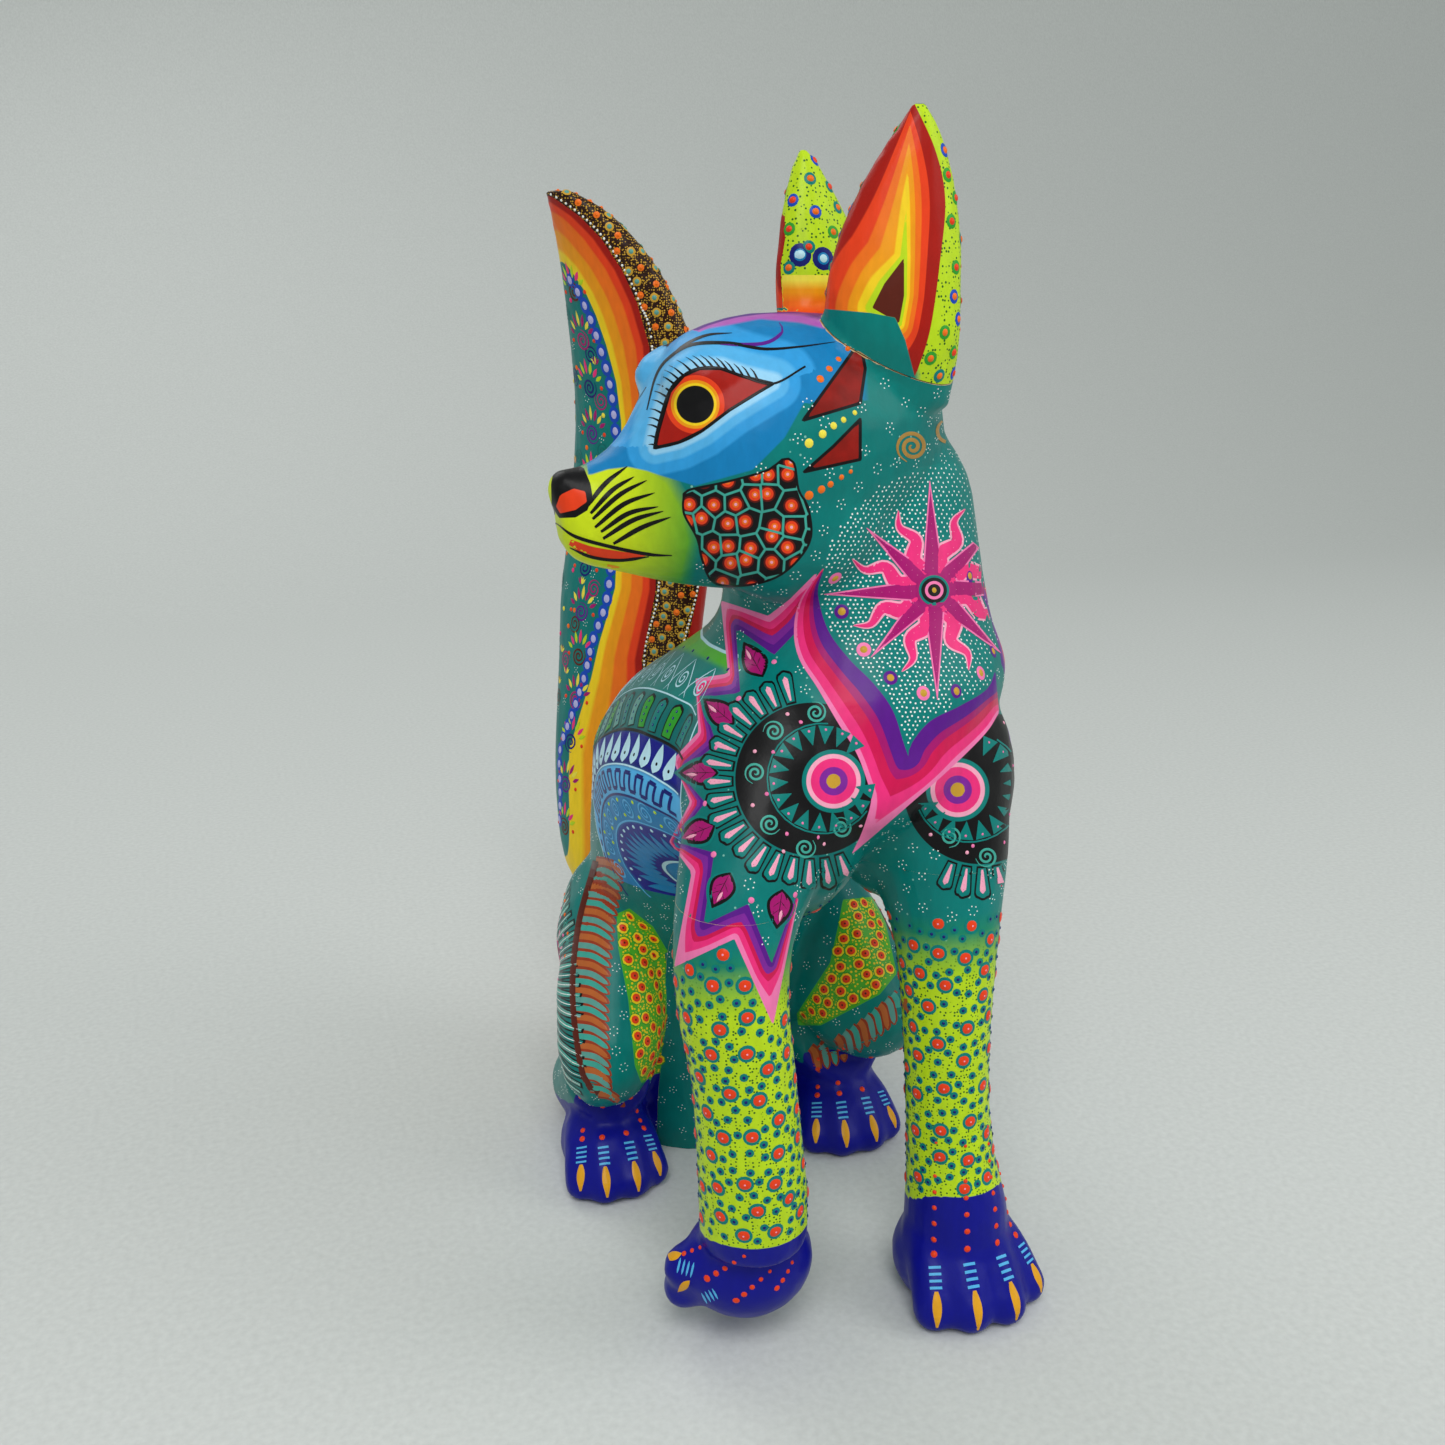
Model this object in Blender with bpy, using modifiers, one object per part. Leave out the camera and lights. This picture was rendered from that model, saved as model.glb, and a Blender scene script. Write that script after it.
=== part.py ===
"""Seated fox alebrije: a carved and glued copal-wood figure.

Head, legs and torso meet on flat joints over loose dowels.  Both ears and the
tail carry their own tenon and lift out of a blind socket.
Millimetres are used for the driving numbers; K turns them into metres.
Figure frame: the chest faces -Y, the snout is turned towards -X, +Z is up.
"""
import math
import bpy
import bmesh
from mathutils import Matrix, Vector

K = 0.001

# driving dimensions ---------------------------------------------------------
SHIFT = (-5.5, -32.8)    # moves the figure over the centre of its own box
VOXEL = 2.4               # sculpting grid
SMOOTH_TURNS = 6
GAP = 0.4                 # glue line between two blocks
NECK_Z = 262.0            # flat joint between neck and head
LEG_TOP_Z = 170.0         # flat joints of both forelegs
HIP_TOP_Z = 137.0
RIGHT_HIP_X = -23.0
LEFT_HIP_X = 33.0
TAIL_FACE_Y = 107.0       # flat joint between rump and tail
DOWEL_R, DOWEL_HALF = 4.0, 12.0
BORE_R, BORE_HALF = 4.35, 12.6
EAR_TENON_R, EAR_TENON_LEN = 5.0, 14.0
TAIL_TENON_R, TAIL_TENON_LEN = 9.0, 26.0
SOCKET_PLAY = 0.4
WELD = 0.03               # shortest edge kept after a cut
TRIANGLE_SHARE = 0.10     # share of the sculpted faces that is kept

# carved form: centre x, y, z then the two half widths -----------------------
TRUNK = [(-8, 6, 62, 36, 34), (8, 6, 63, 41, 40), (28, 6, 64, 44, 43), (60, 5, 61, 48, 46),
         (98, 5, 56, 49, 48), (115, 5, 50, 50, 52), (130, 5, 42, 51, 57), (145, 6, 33, 54, 62),
         (160, 8, 20, 58, 73), (175, 11, 6, 63, 84), (192, 13, -6, 66, 94), (205, 19, -10, 66, 94),
         (218, 24, -18, 66, 82), (234, 31, -30, 60, 66), (250, 34, -36, 50, 50),
         (268, 34, -34, 47, 46), (285, 34, -32, 45, 43), (300, 35, -34, 40, 38), (314, 35, -38, 30, 28),
         (326, 34, -42, 14, 12)]
SKULL = [(64, -34, 314, 8, 10), (58, -35, 314, 20, 25), (47, -38, 314, 31, 35), (32, -41, 314, 38, 41),
         (12, -44, 312, 41, 45), (-8, -45, 311, 41, 46), (-24, -46, 310, 37, 44), (-36, -46, 308, 32, 40),
         (-45, -46, 302, 25, 32), (-54, -46, 296, 17, 23.5), (-64, -46, 293, 13.5, 18),
         (-72, -46, 293, 11, 15), (-77, -46, 294, 7, 9)]
LEFT_SHANK = [(60, 26, 46, 21), (59, 48, 30, 21), (58, 66, 22, 20), (56, 78, 14, 15)]
RIGHT_SHANK = [(-46, 26, 46, 19), (-45, 48, 30, 19), (-43, 66, 22, 19), (-41, 78, 14, 14)]
LEFT_FORELEG = [(54, -60, 205, 30), (53, -74, 168, 25), (52, -84, 142, 19), (51.5, -88, 112, 16.2),
                (52, -90, 82, 15.4), (54, -91, 56, 16.4), (56, -93, 36, 19), (57, -93, 18, 20)]
RIGHT_FORELEG = [(-8, -66, 208, 30), (-22, -84, 184, 25), (-33, -96, 162, 20.5), (-35, -100, 138, 19),
                 (-32, -102, 112, 17.8), (-30, -103, 86, 18.2), (-28, -102, 64, 19), (-27, -100, 46, 19)]
TAIL_BLADE = [(8, 96, 38, 14, 13), (6, 113, 50, 20, 15), (-2, 128, 70, 26, 16.5), (-11, 137, 93, 32, 17.5),
              (-10, 142, 126, 37, 18), (-6, 147, 155, 40, 18), (-2, 150, 183, 41.5, 18),
              (2, 153, 221, 43, 18), (6, 153, 250, 43, 17.5), (8, 151, 283, 41, 17), (7, 149, 315, 38, 16.5),
              (1, 146, 346, 34, 15), (-6, 144, 369, 28.5, 13), (-14, 143, 386, 22, 10.5),
              (-22, 142, 398, 15, 8), (-31, 141, 406, 7, 4.5)]
LEFT_EAR = [(326, 38, -62, 16, 13), (345, 33, -67, 21, 14), (360, 31, -68, 22.5, 13), (375, 32, -68, 21, 11.5),
            (390, 34, -68, 17.5, 9.5), (405, 36, -69, 11.5, 6.5), (415, 37, -70, 6, 3.8), (422, 37, -70, 1.6, 1.4)]
RIGHT_EAR = [(322, 40, -28, 16, 13), (340, 33, -24, 21, 14), (354, 29, -22, 21.5, 13), (368, 26, -21, 19, 11.5),
             (382, 24, -20, 15.5, 9.5), (396, 21.5, -19, 10, 6.5), (406, 20, -18, 5, 3.8), (412, 19, -18, 1.6, 1.4)]
EAR_TURN = 14.0           # degrees the ear mouths are turned to the front

# lumps of muscle: centre, three radii
LUMPS = [((50, -54, 193), (37.5, 41, 48)), ((-6, -60, 196), (35, 42, 48)),
         ((-74, -46, 301), (6.5, 8, 7.5)), ((0, -62, 291), (34, 23, 29)), ((0, -30, 291), (34, 23, 29)),
         ((-26, -61, 336), (20, 14, 12)), ((-26, -31, 336), (20, 14, 12)),
         ((57, -92, 15), (24, 23, 21)), ((-47, 28, 12), (20, 26, 18)), ((60, 28, 12), (22, 26, 18)),
         ((-26, -92, 31), (24, 20, 21))]
# thighs: hip end, knee end, half width across, half widths at the hip and the knee
THIGHS = [((-36, 60, 100), (-46, 20, 66), 23, 42, 28), ((52, 62, 102), (64, 20, 68), 27, 43, 29)]
# toes: knuckle, tip, radius
TOES = [((46, -90, 27), (39, -112, 7), 8), ((53, -92, 30), (51, -117, 7.5), 8.6),
        ((61, -92, 29), (65, -117, 7.5), 8.6), ((68, -90, 24), (78, -109, 7), 8),
        ((-56, 30, 19), (-63, 9, 6.5), 7.4), ((-51, 28, 22), (-54.5, 3, 7), 7.8),
        ((-44, 28, 22), (-42.5, 3, 7), 7.8), ((-38, 30, 19), (-32.5, 9, 6.5), 7.4),
        ((52, 30, 19), (43, 10, 6.5), 7.8), ((57, 28, 22), (53, 4, 7), 8.2),
        ((64, 28, 22), (65.5, 4, 7), 8.2), ((69, 30, 19), (76, 10, 6.5), 7.8),
        ((-30, -98, 33), (-49, -90, 31), 8.2), ((-30, -95, 25), (-48, -86, 20), 8.2),
        ((-24, -90, 20), (-38, -80, 14), 8), ((-16, -88, 20), (-25, -77, 14), 7.6)]


# helpers --------------------------------------------------------------------
def clear_file():
    for thing in list(bpy.data.objects):
        bpy.data.objects.remove(thing, do_unlink=True)
    for group in list(bpy.data.collections):
        bpy.data.collections.remove(group)


def spread(points, steps):
    """Passes a Catmull-Rom curve through rows of numbers."""
    rows = []
    for i in range(len(points) - 1):
        p0, p1, p2, p3 = (points[max(0, min(len(points) - 1, i + k))] for k in (-1, 0, 1, 2))
        for s in range(steps):
            t = s / steps
            rows.append([0.5 * (2 * b + (c - a) * t + (2 * a - 5 * b + 4 * c - d) * t * t
                                + (3 * b - a - 3 * c + d) * t ** 3)
                         for a, b, c, d in zip(p0, p1, p2, p3)])
    return rows + [list(points[-1])]


def skin(bm, rings):
    """Closes a stack of rings into one body."""
    loops = [[bm.verts.new(co) for co in ring] for ring in rings]
    n = len(loops[0])
    for low, high in zip(loops, loops[1:]):
        for j in range(n):
            bm.faces.new((low[j], low[(j + 1) % n], high[(j + 1) % n], high[j]))
    bm.faces.new(loops[0][::-1])
    bm.faces.new(loops[-1])


def ring(centre, side, front, a, b, n=28):
    return [centre + side * (a * math.cos(2 * math.pi * j / n)) + front * (b * math.sin(2 * math.pi * j / n))
            for j in range(n)]


def stack(bm, stations, make):
    """Lofts stations; make() gives centre, side, front and the half widths of one row."""
    skin(bm, [ring(*make(row)) for row in spread(stations, 3)])


def limb(bm, stations):
    rows = spread(stations, 3)
    rings = []
    for i, (x, y, z, r) in enumerate(rows):
        ahead, behind = rows[min(i + 1, len(rows) - 1)], rows[max(i - 1, 0)]
        run = (Vector(ahead[:3]) - Vector(behind[:3])).normalized()
        side = Vector((0, 1, 0)).cross(run).normalized()
        rings.append(ring(Vector((x, y, z)), side, run.cross(side), r, r))
    skin(bm, rings)


def lump(bm, centre, radii):
    frame = Matrix.Translation(centre) @ Matrix.Diagonal((*radii, 1.0))
    bmesh.ops.create_uvsphere(bm, u_segments=24, v_segments=14, radius=1.0, matrix=frame)


def new_object(name, bm, group):
    bmesh.ops.recalc_face_normals(bm, faces=bm.faces)
    for v in bm.verts:
        v.co = (v.co + Vector((*SHIFT, 0.0))) * K
    mesh = bpy.data.meshes.new(name)
    bm.to_mesh(mesh)
    bm.free()
    thing = bpy.data.objects.new(name, mesh)
    group.objects.link(thing)
    return thing


def baked(thing):
    graph = bpy.context.evaluated_depsgraph_get()
    return bpy.data.meshes.new_from_object(thing.evaluated_get(graph))


def block(name, corners, frame, group, grow=0.0):
    """A box given by two opposite corners in its own frame."""
    low = Vector(corners[0]) - Vector((grow,) * 3)
    high = Vector(corners[1]) + Vector((grow,) * 3)
    bm = bmesh.new()
    bmesh.ops.create_cube(bm, size=1.0, matrix=frame @ Matrix.Translation((low + high) / 2)
                          @ Matrix.Diagonal((*(high - low), 1.0)))
    return new_object(name, bm, group)


def rod(name, start, axis, length, radius, group, round_end=0.0):
    """A turned rod from start along axis."""
    bm = bmesh.new()
    turn = Vector((0, 0, 1)).rotation_difference(Vector(axis).normalized()).to_matrix().to_4x4()
    centre = Vector(start) + Vector(axis).normalized() * (length / 2)
    bmesh.ops.create_cone(bm, cap_ends=True, segments=24, radius1=radius, radius2=radius, depth=length,
                          matrix=Matrix.Translation(centre) @ turn)
    if round_end:
        caps = [e for e in bm.edges if any(len(f.verts) > 4 for f in e.link_faces)]
        bmesh.ops.bevel(bm, geom=caps, offset=round_end, segments=2, profile=0.5, affect='EDGES')
    return new_object(name, bm, group)


def drop_slivers(mesh):
    """Welds the needle triangles of a cut and drops crumbs cut loose at an edge."""
    bm = bmesh.new()
    bm.from_mesh(mesh)
    bmesh.ops.remove_doubles(bm, verts=bm.verts, dist=WELD * K)
    bmesh.ops.dissolve_degenerate(bm, edges=bm.edges, dist=WELD * K)
    left, bodies = set(bm.verts), []
    while left:
        front, seen = [left.pop()], set()
        while front:
            v = front.pop()
            seen.add(v)
            near = {e.other_vert(v) for e in v.link_edges} & left
            left -= near
            front.extend(near)
        bodies.append(seen)
    largest = max(bodies, key=len)
    bmesh.ops.delete(bm, geom=[v for v in bm.verts if v not in largest], context='VERTS')
    bmesh.ops.holes_fill(bm, edges=[e for e in bm.edges if e.is_boundary], sides=6)
    bm.to_mesh(mesh)
    bm.free()


def apply_boolean(thing, tool, operation):
    step = thing.modifiers.new(operation.lower(), 'BOOLEAN')
    step.object, step.operation, step.solver = tool, operation, 'EXACT'
    mesh = baked(thing)
    drop_slivers(mesh)
    thing.modifiers.clear()
    old, thing.data = thing.data, mesh
    bpy.data.meshes.remove(old)


# build ----------------------------------------------------------------------
clear_file()
figure = bpy.data.collections.new("alebrije_fox")
tools = bpy.data.collections.new("cutters")
for group in (figure, tools):
    bpy.context.scene.collection.children.link(group)

flat_side, flat_front = Vector((1, 0, 0)), Vector((0, 1, 0))
ear_side = Vector((math.cos(math.radians(EAR_TURN)), -math.sin(math.radians(EAR_TURN)), 0))
far_side = Vector((ear_side.x, -ear_side.y, 0))
up = Vector((0, 0, 1))
blade_side, blade_front = Vector((-0.55, 0.835, 0)), Vector((0.835, 0.55, 0))

bm = bmesh.new()
stack(bm, TRUNK, lambda r: (Vector((r[1], r[2], r[0])), flat_side, flat_front, r[3], r[4]))
stack(bm, SKULL, lambda r: (Vector((r[0], r[1], r[2])), flat_front, up, r[3], r[4]))
stack(bm, LEFT_EAR, lambda r: (Vector((r[1], r[2], r[0])), ear_side, up.cross(ear_side), r[3], r[4]))
stack(bm, RIGHT_EAR, lambda r: (Vector((r[1], r[2], r[0])), far_side, up.cross(far_side), r[3], r[4]))
stack(bm, TAIL_BLADE, lambda r: (Vector(r[:3]), blade_side, blade_front, r[3], r[4]))
limb(bm, LEFT_FORELEG)
limb(bm, RIGHT_FORELEG)
limb(bm, LEFT_SHANK)
limb(bm, RIGHT_SHANK)
for hip, knee, across, wide, narrow in THIGHS:
    run = Vector(knee) - Vector(hip)
    lie = run.normalized()
    rows = [(t, wide + (narrow - wide) * t) for t in (0, 0.25, 0.5, 0.75, 1)]
    rows = [(t, s * wide) for t, s in ((-0.62, 0.15), (-0.56, 0.45), (-0.36, 0.82))] + rows
    rows += [(t, s * narrow) for t, s in ((1.28, 0.85), (1.48, 0.5), (1.54, 0.15))]
    side = Vector((1, 0, 0))
    rings = []
    for t, w in rows:
        fill = min(1, w / (wide if t < 0.5 else narrow))
        rings.append(ring(Vector(hip) + run * t, side, lie.cross(side), across * fill, w))
    skin(bm, rings)
for centre, radii in LUMPS:
    lump(bm, centre, radii)
for knuckle, tip, r in TOES:
    mid = [(a + b) / 2 + h for a, b, h in zip(knuckle, tip, (0, 0, 3))]
    limb(bm, [(*knuckle, r + 2), (*mid, r + 1), (*tip, r)])
    lump(bm, tip, (r, r, r))
sculpt = new_object("sculpt", bm, tools)
grid = sculpt.modifiers.new("grid", 'REMESH')
grid.mode, grid.voxel_size = 'VOXEL', VOXEL * K
calm = sculpt.modifiers.new("calm", 'SMOOTH')
calm.factor, calm.iterations = 0.5, SMOOTH_TURNS
thin = sculpt.modifiers.new("thin", 'DECIMATE')
thin.ratio = TRIANGLE_SHARE

body = sculpt.copy()
body.data = baked(sculpt)
body.modifiers.clear()
body.name = "body"
tools.objects.link(body)
apply_boolean(body, block("floor", ((-300, -300, -60), (300, 300, 0)), Matrix(), tools), 'DIFFERENCE')


def region(name, low, high, bottom=None, grow=0.0):
    """A box; bottom gives (point, normal) of a slanted lower face."""
    thing = block(name, (low, high), Matrix(), tools, grow)
    if bottom:
        point, normal = Vector(bottom[0]), Vector(bottom[1]).normalized()
        point = point - normal * grow
        for v in thing.data.vertices:
            if v.co.z < (low[2] + high[2]) / 2 * K:
                x, y = v.co.x / K - SHIFT[0], v.co.y / K - SHIFT[1]
                v.co.z = (point.z - (normal.x * (x - point.x) + normal.y * (y - point.y)) / normal.z) * K
    return thing


LEFT_SEAT = ((33, -67, 344), (0.25, -0.5, 0.83))
RIGHT_SEAT = ((33, -24, 341), (0.25, 0.5, 0.83))
REGIONS = {
    "left_ear": ((4, -110, 300), (80, -45.5, 450), LEFT_SEAT),
    "right_ear": ((4, -44.5, 300), (80, 20, 450), RIGHT_SEAT),
    "tail": ((-120, TAIL_FACE_Y, -20), (120, 260, 450), None),
    "left_foreleg": ((20, -180, -20), (120, -46, LEG_TOP_Z), None),
    "right_foreleg": ((-120, -180, -20), (6, -46, LEG_TOP_Z), None),
    "left_hind_leg": ((LEFT_HIP_X, -22, -20), (140, 102, HIP_TOP_Z), None),
    "right_hind_leg": ((-140, -22, -20), (RIGHT_HIP_X, 102, HIP_TOP_Z), None),
    "head": ((-110, -120, NECK_Z), (100, 70, 450), None),
}
COLOURS = {"left_ear": (0.80, 0.16, 0.02), "right_ear": (0.45, 0.62, 0.03), "tail": (0.75, 0.30, 0.03),
           "left_foreleg": (0.44, 0.68, 0.03), "right_foreleg": (0.46, 0.70, 0.03),
           "left_hind_leg": (0.02, 0.22, 0.19), "right_hind_leg": (0.03, 0.24, 0.20),
           "head": (0.06, 0.30, 0.62), "torso": (0.02, 0.25, 0.21), "dowel": (0.62, 0.45, 0.27)}


def paint(thing, colour, rough=0.38):
    mat = bpy.data.materials.new(thing.name + "_paint")
    mat.use_nodes = True
    shader = mat.node_tree.nodes["Principled BSDF"]
    shader.inputs["Base Color"].default_value = (*colour, 1.0)
    shader.inputs["Roughness"].default_value = rough
    thing.data.materials.clear()
    thing.data.materials.append(mat)
    for face in thing.data.polygons:
        face.use_smooth = True
    thing.data.set_sharp_from_angle(angle=math.radians(50))


pieces = {}


def piece(name, colour):
    thing = bpy.data.objects.new(name, body.data.copy())
    figure.objects.link(thing)
    pieces[name] = thing
    return thing


for name, (low, high, bottom) in REGIONS.items():
    thing = piece(name, COLOURS[name])
    apply_boolean(thing, region(name + "_in", low, high, bottom), 'INTERSECT')
    if name == "head":
        for ear in ("left_ear", "right_ear"):
            apply_boolean(thing, region(ear + "_out", *REGIONS[ear], GAP), 'DIFFERENCE')
torso = piece("torso", COLOURS["torso"])
for name, (low, high, bottom) in REGIONS.items():
    if name not in ("left_ear", "right_ear"):
        apply_boolean(torso, region(name + "_off", low, high, bottom, GAP), 'DIFFERENCE')

# loose dowels of the glued joints: centre, axis, the two blocks
DOWELS = {
    "neck_dowel": ((34, -34, NECK_Z), (0, 0, 1), "head"),
    "left_shoulder_dowel": ((53, -72, LEG_TOP_Z), (0, 0, 1), "left_foreleg"),
    "right_shoulder_dowel": ((-25, -86, LEG_TOP_Z), (0, 0, 1), "right_foreleg"),
    "left_hip_dowel": ((LEFT_HIP_X, 54, 84), (1, 0, 0), "left_hind_leg"),
    "right_hip_dowel": ((RIGHT_HIP_X, 54, 84), (1, 0, 0), "right_hind_leg"),
}
for name, (centre, axis, partner) in DOWELS.items():
    half = Vector(axis)
    bore = rod(name + "_bore", Vector(centre) - half * BORE_HALF, axis, 2 * BORE_HALF, BORE_R, tools)
    for owner in ("torso", partner):
        apply_boolean(pieces[owner], bore, 'DIFFERENCE')
    pin = rod(name, Vector(centre) - half * DOWEL_HALF, axis, 2 * DOWEL_HALF, DOWEL_R, figure, 0.6)
    pieces[name] = pin

# tenons of the pieces that lift out, with their blind sockets
TENONS = {"left_ear": (*LEFT_SEAT, EAR_TENON_R, EAR_TENON_LEN, "head"),
          "right_ear": (*RIGHT_SEAT, EAR_TENON_R, EAR_TENON_LEN, "head"),
          "tail": ((6, TAIL_FACE_Y, 56), (0, 0.94, 0.342), TAIL_TENON_R, TAIL_TENON_LEN, "torso")}
for name, (seat, axis, radius, length, owner) in TENONS.items():
    run = Vector(axis).normalized()
    tenon = rod(name + "_tenon", Vector(seat) - run * length, axis, length + 5, radius, tools, 0.8)
    apply_boolean(pieces[name], tenon, 'UNION')
    deep = length + SOCKET_PLAY
    socket = rod(name + "_socket", Vector(seat) - run * deep, axis, deep + 3, radius + SOCKET_PLAY, tools)
    apply_boolean(pieces[owner], socket, 'DIFFERENCE')

for name, thing in pieces.items():
    paint(thing, COLOURS.get(name, COLOURS["dowel"]), 0.38 if name in COLOURS else 0.7)
for name, (seat, *rest) in TENONS.items():
    origin = (Vector(seat) + Vector((*SHIFT, 0.0))) * K
    pieces[name].data.transform(Matrix.Translation(-origin))
    pieces[name].location = origin
for tool in tools.objects:
    tool.hide_render = True
    tool.display_type = 'WIRE'
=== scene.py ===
"""Seated fox alebrije: the carved blocks of the frame, painted.

Figure frame, in millimetres: the chest faces -Y, the snout points to -X, +Z is
up, and the origin is on the floor between the hind paws.  Paint that is a flat
band comes from point attributes read by the shaders; every dot, line, spiral
and petal is a thin raised stroke laid on the surface.
"""
import math
import random
import bpy
import bmesh
import numpy as np
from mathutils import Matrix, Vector
from mathutils.bvhtree import BVHTree


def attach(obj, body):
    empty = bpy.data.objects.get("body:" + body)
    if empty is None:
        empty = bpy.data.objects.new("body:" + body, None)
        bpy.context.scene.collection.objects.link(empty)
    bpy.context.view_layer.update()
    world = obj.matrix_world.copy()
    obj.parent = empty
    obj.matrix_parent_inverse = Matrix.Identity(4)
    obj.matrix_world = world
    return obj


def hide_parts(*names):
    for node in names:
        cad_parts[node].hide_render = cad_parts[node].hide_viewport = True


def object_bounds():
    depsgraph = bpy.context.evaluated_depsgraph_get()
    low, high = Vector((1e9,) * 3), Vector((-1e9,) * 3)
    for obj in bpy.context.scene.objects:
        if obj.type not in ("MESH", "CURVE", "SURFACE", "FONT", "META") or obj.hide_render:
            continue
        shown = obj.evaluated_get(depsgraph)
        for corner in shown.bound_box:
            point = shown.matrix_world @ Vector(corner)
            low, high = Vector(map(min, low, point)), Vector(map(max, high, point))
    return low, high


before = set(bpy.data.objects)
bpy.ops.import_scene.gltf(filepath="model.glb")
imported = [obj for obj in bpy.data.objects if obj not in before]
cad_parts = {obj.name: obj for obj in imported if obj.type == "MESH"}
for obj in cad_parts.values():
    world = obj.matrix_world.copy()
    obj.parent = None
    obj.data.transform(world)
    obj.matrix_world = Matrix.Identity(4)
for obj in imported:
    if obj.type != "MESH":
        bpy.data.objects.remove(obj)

cad_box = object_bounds()
random.seed(11)
rng = np.random.default_rng(7)

MM = 0.001
SHIFT = np.array((-5.5, -32.8, 0.0))      # figure frame to world
HEAD_MID_Y = -45.0                        # mid plane of the turned head
STEP = dict(torso=2.3, head=1.4, left_ear=1.1, right_ear=1.1)   # longest edge of a painted skin
PIECES = ("torso", "head", "left_foreleg", "right_foreleg", "left_hind_leg", "right_hind_leg",
          "left_ear", "right_ear", "tail")
NECK_Z, LEG_TOP_Z, HIP_TOP_Z, LEG_BACK_Y = 262.0, 170.0, 137.0, -46.0
RIGHT_HIP_X, LEFT_HIP_X, TAIL_FACE_Y = -23.0, 33.0, 107.0
PLANES = ((2, NECK_Z - 0.2), (2, LEG_TOP_Z + 0.2), (2, HIP_TOP_Z + 0.2), (1, LEG_BACK_Y + 0.2),
          (0, RIGHT_HIP_X + 0.2), (0, LEFT_HIP_X - 0.2))
LEFT_SEAT = (np.array((33, -67, 344.0)), np.array((0.25, -0.5, 0.83)))
RIGHT_SEAT = (np.array((33, -24, 341.0)), np.array((0.25, 0.5, 0.83)))


BODY = {"left_ear": "left_ear", "right_ear": "right_ear", "tail": "tail"}


def placed(points):
    """Metres, and never outside the bounds of the whole imported model."""
    return np.clip((np.array(points) + SHIFT) * MM, *np.array(cad_box)).tolist()


# ------------------------------------------------------------------ colours
def rgb(text):
    """Hex colour to linear values."""
    raw = [int(text[i:i + 2], 16) / 255 for i in (0, 2, 4)]
    return tuple(c / 12.92 if c <= 0.04045 else ((c + 0.055) / 1.055) ** 2.4 for c in raw)


C = {name: rgb(code) for name, code in dict(
    teal="007a74", deep_teal="006a68", lime="b9d91c", green="2f9a2c", leaf="4fae2a", dark_green="1d5a1c",
    navy="101a6e", ultra="0a0f86", blue="1148b8", azure="0f7cb8", mid="2f98d8", sky="52aee4",
    pale_sky="93cdee", ice="b9e0ee", violet="5a1488", purple="7d2496", orchid="b45ab8",
    magenta="a5126c", crimson="cf1250",
    hot="ee2f7c", pink="f279b0", rose="f5a6c0", black="0d0c0e", red="a5170c", vermilion="e8401a",
    orange="f0701a", amber="f09a14", yellow="f5cf1e", pale_yellow="f0e04a", ochre="e0a022", gold="c79a32",
    brown="5a1f12", rust="9a3a20", white="f2f4f0", cream="efe6c8", mint="9fdccb", lilac="b7b4e2",
    grey_teal="5d9c92", dark_brown="2a130c", wood="c9a06c", chartreuse="ccdf18", maroon="5e120b",
    bronze="a8803c", sea="3fa394", copper="b8622e").items()}


# ------------------------------------------------------------- small algebra
def spline(points, step=1.0):
    """Catmull-Rom curve through 2D or 3D points, resampled at about step."""
    p = np.array(points, float)
    if len(p) < 2:
        return p
    ext = np.vstack((2 * p[0] - p[1], p, 2 * p[-1] - p[-2]))
    rows = []
    for a, b, c, d in zip(ext, ext[1:], ext[2:], ext[3:]):
        n = max(2, int(np.linalg.norm(c - b) / step))
        for t in np.arange(n) / n:
            rows.append(0.5 * (2 * b + (c - a) * t + (2 * a - 5 * b + 4 * c - d) * t * t
                               + (3 * b - a - 3 * c + d) * t ** 3))
    return np.array(rows + [p[-1]])


def line_distance(q, line):
    """Distance of 2D points q to a polyline."""
    best = np.full(len(q), 1e9)
    for a, b in zip(line, line[1:]):
        ab = b - a
        t = np.clip(((q - a) @ ab) / max(ab @ ab, 1e-9), 0, 1)
        best = np.minimum(best, np.hypot(*(q - a - t[:, None] * ab).T))
    return best


def inside(q, ring):
    """True where 2D points q lie in a closed ring."""
    hit = np.zeros(len(q), bool)
    for a, b in zip(ring, np.roll(ring, -1, axis=0)):
        cross = (a[1] > q[:, 1]) != (b[1] > q[:, 1])
        with np.errstate(divide='ignore', invalid='ignore'):
            x = (b[0] - a[0]) * (q[:, 1] - a[1]) / (b[1] - a[1]) + a[0]
        hit ^= cross & (q[:, 0] < x)
    return hit


def signed(q, ring):
    """Millimetres inside (+) or outside (-) a closed ring."""
    ring = np.array(ring, float)
    d = line_distance(q, np.vstack((ring, ring[:1])))
    return np.where(inside(q, ring), d, -d)


def between(q, outer, inner):
    """Mask and 0..1 place of 2D points between two edges of a banded shape."""
    outer, inner = np.array(outer, float), np.array(inner, float)
    mask = signed(q, np.vstack((outer, inner[::-1])))
    d0, d1 = line_distance(q, outer), line_distance(q, inner)
    return mask, d0 / (d0 + d1 + 1e-6)


def smooth(a, b, x):
    t = np.clip((x - a) / (b - a), 0, 1)
    return t * t * (3 - 2 * t)


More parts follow.
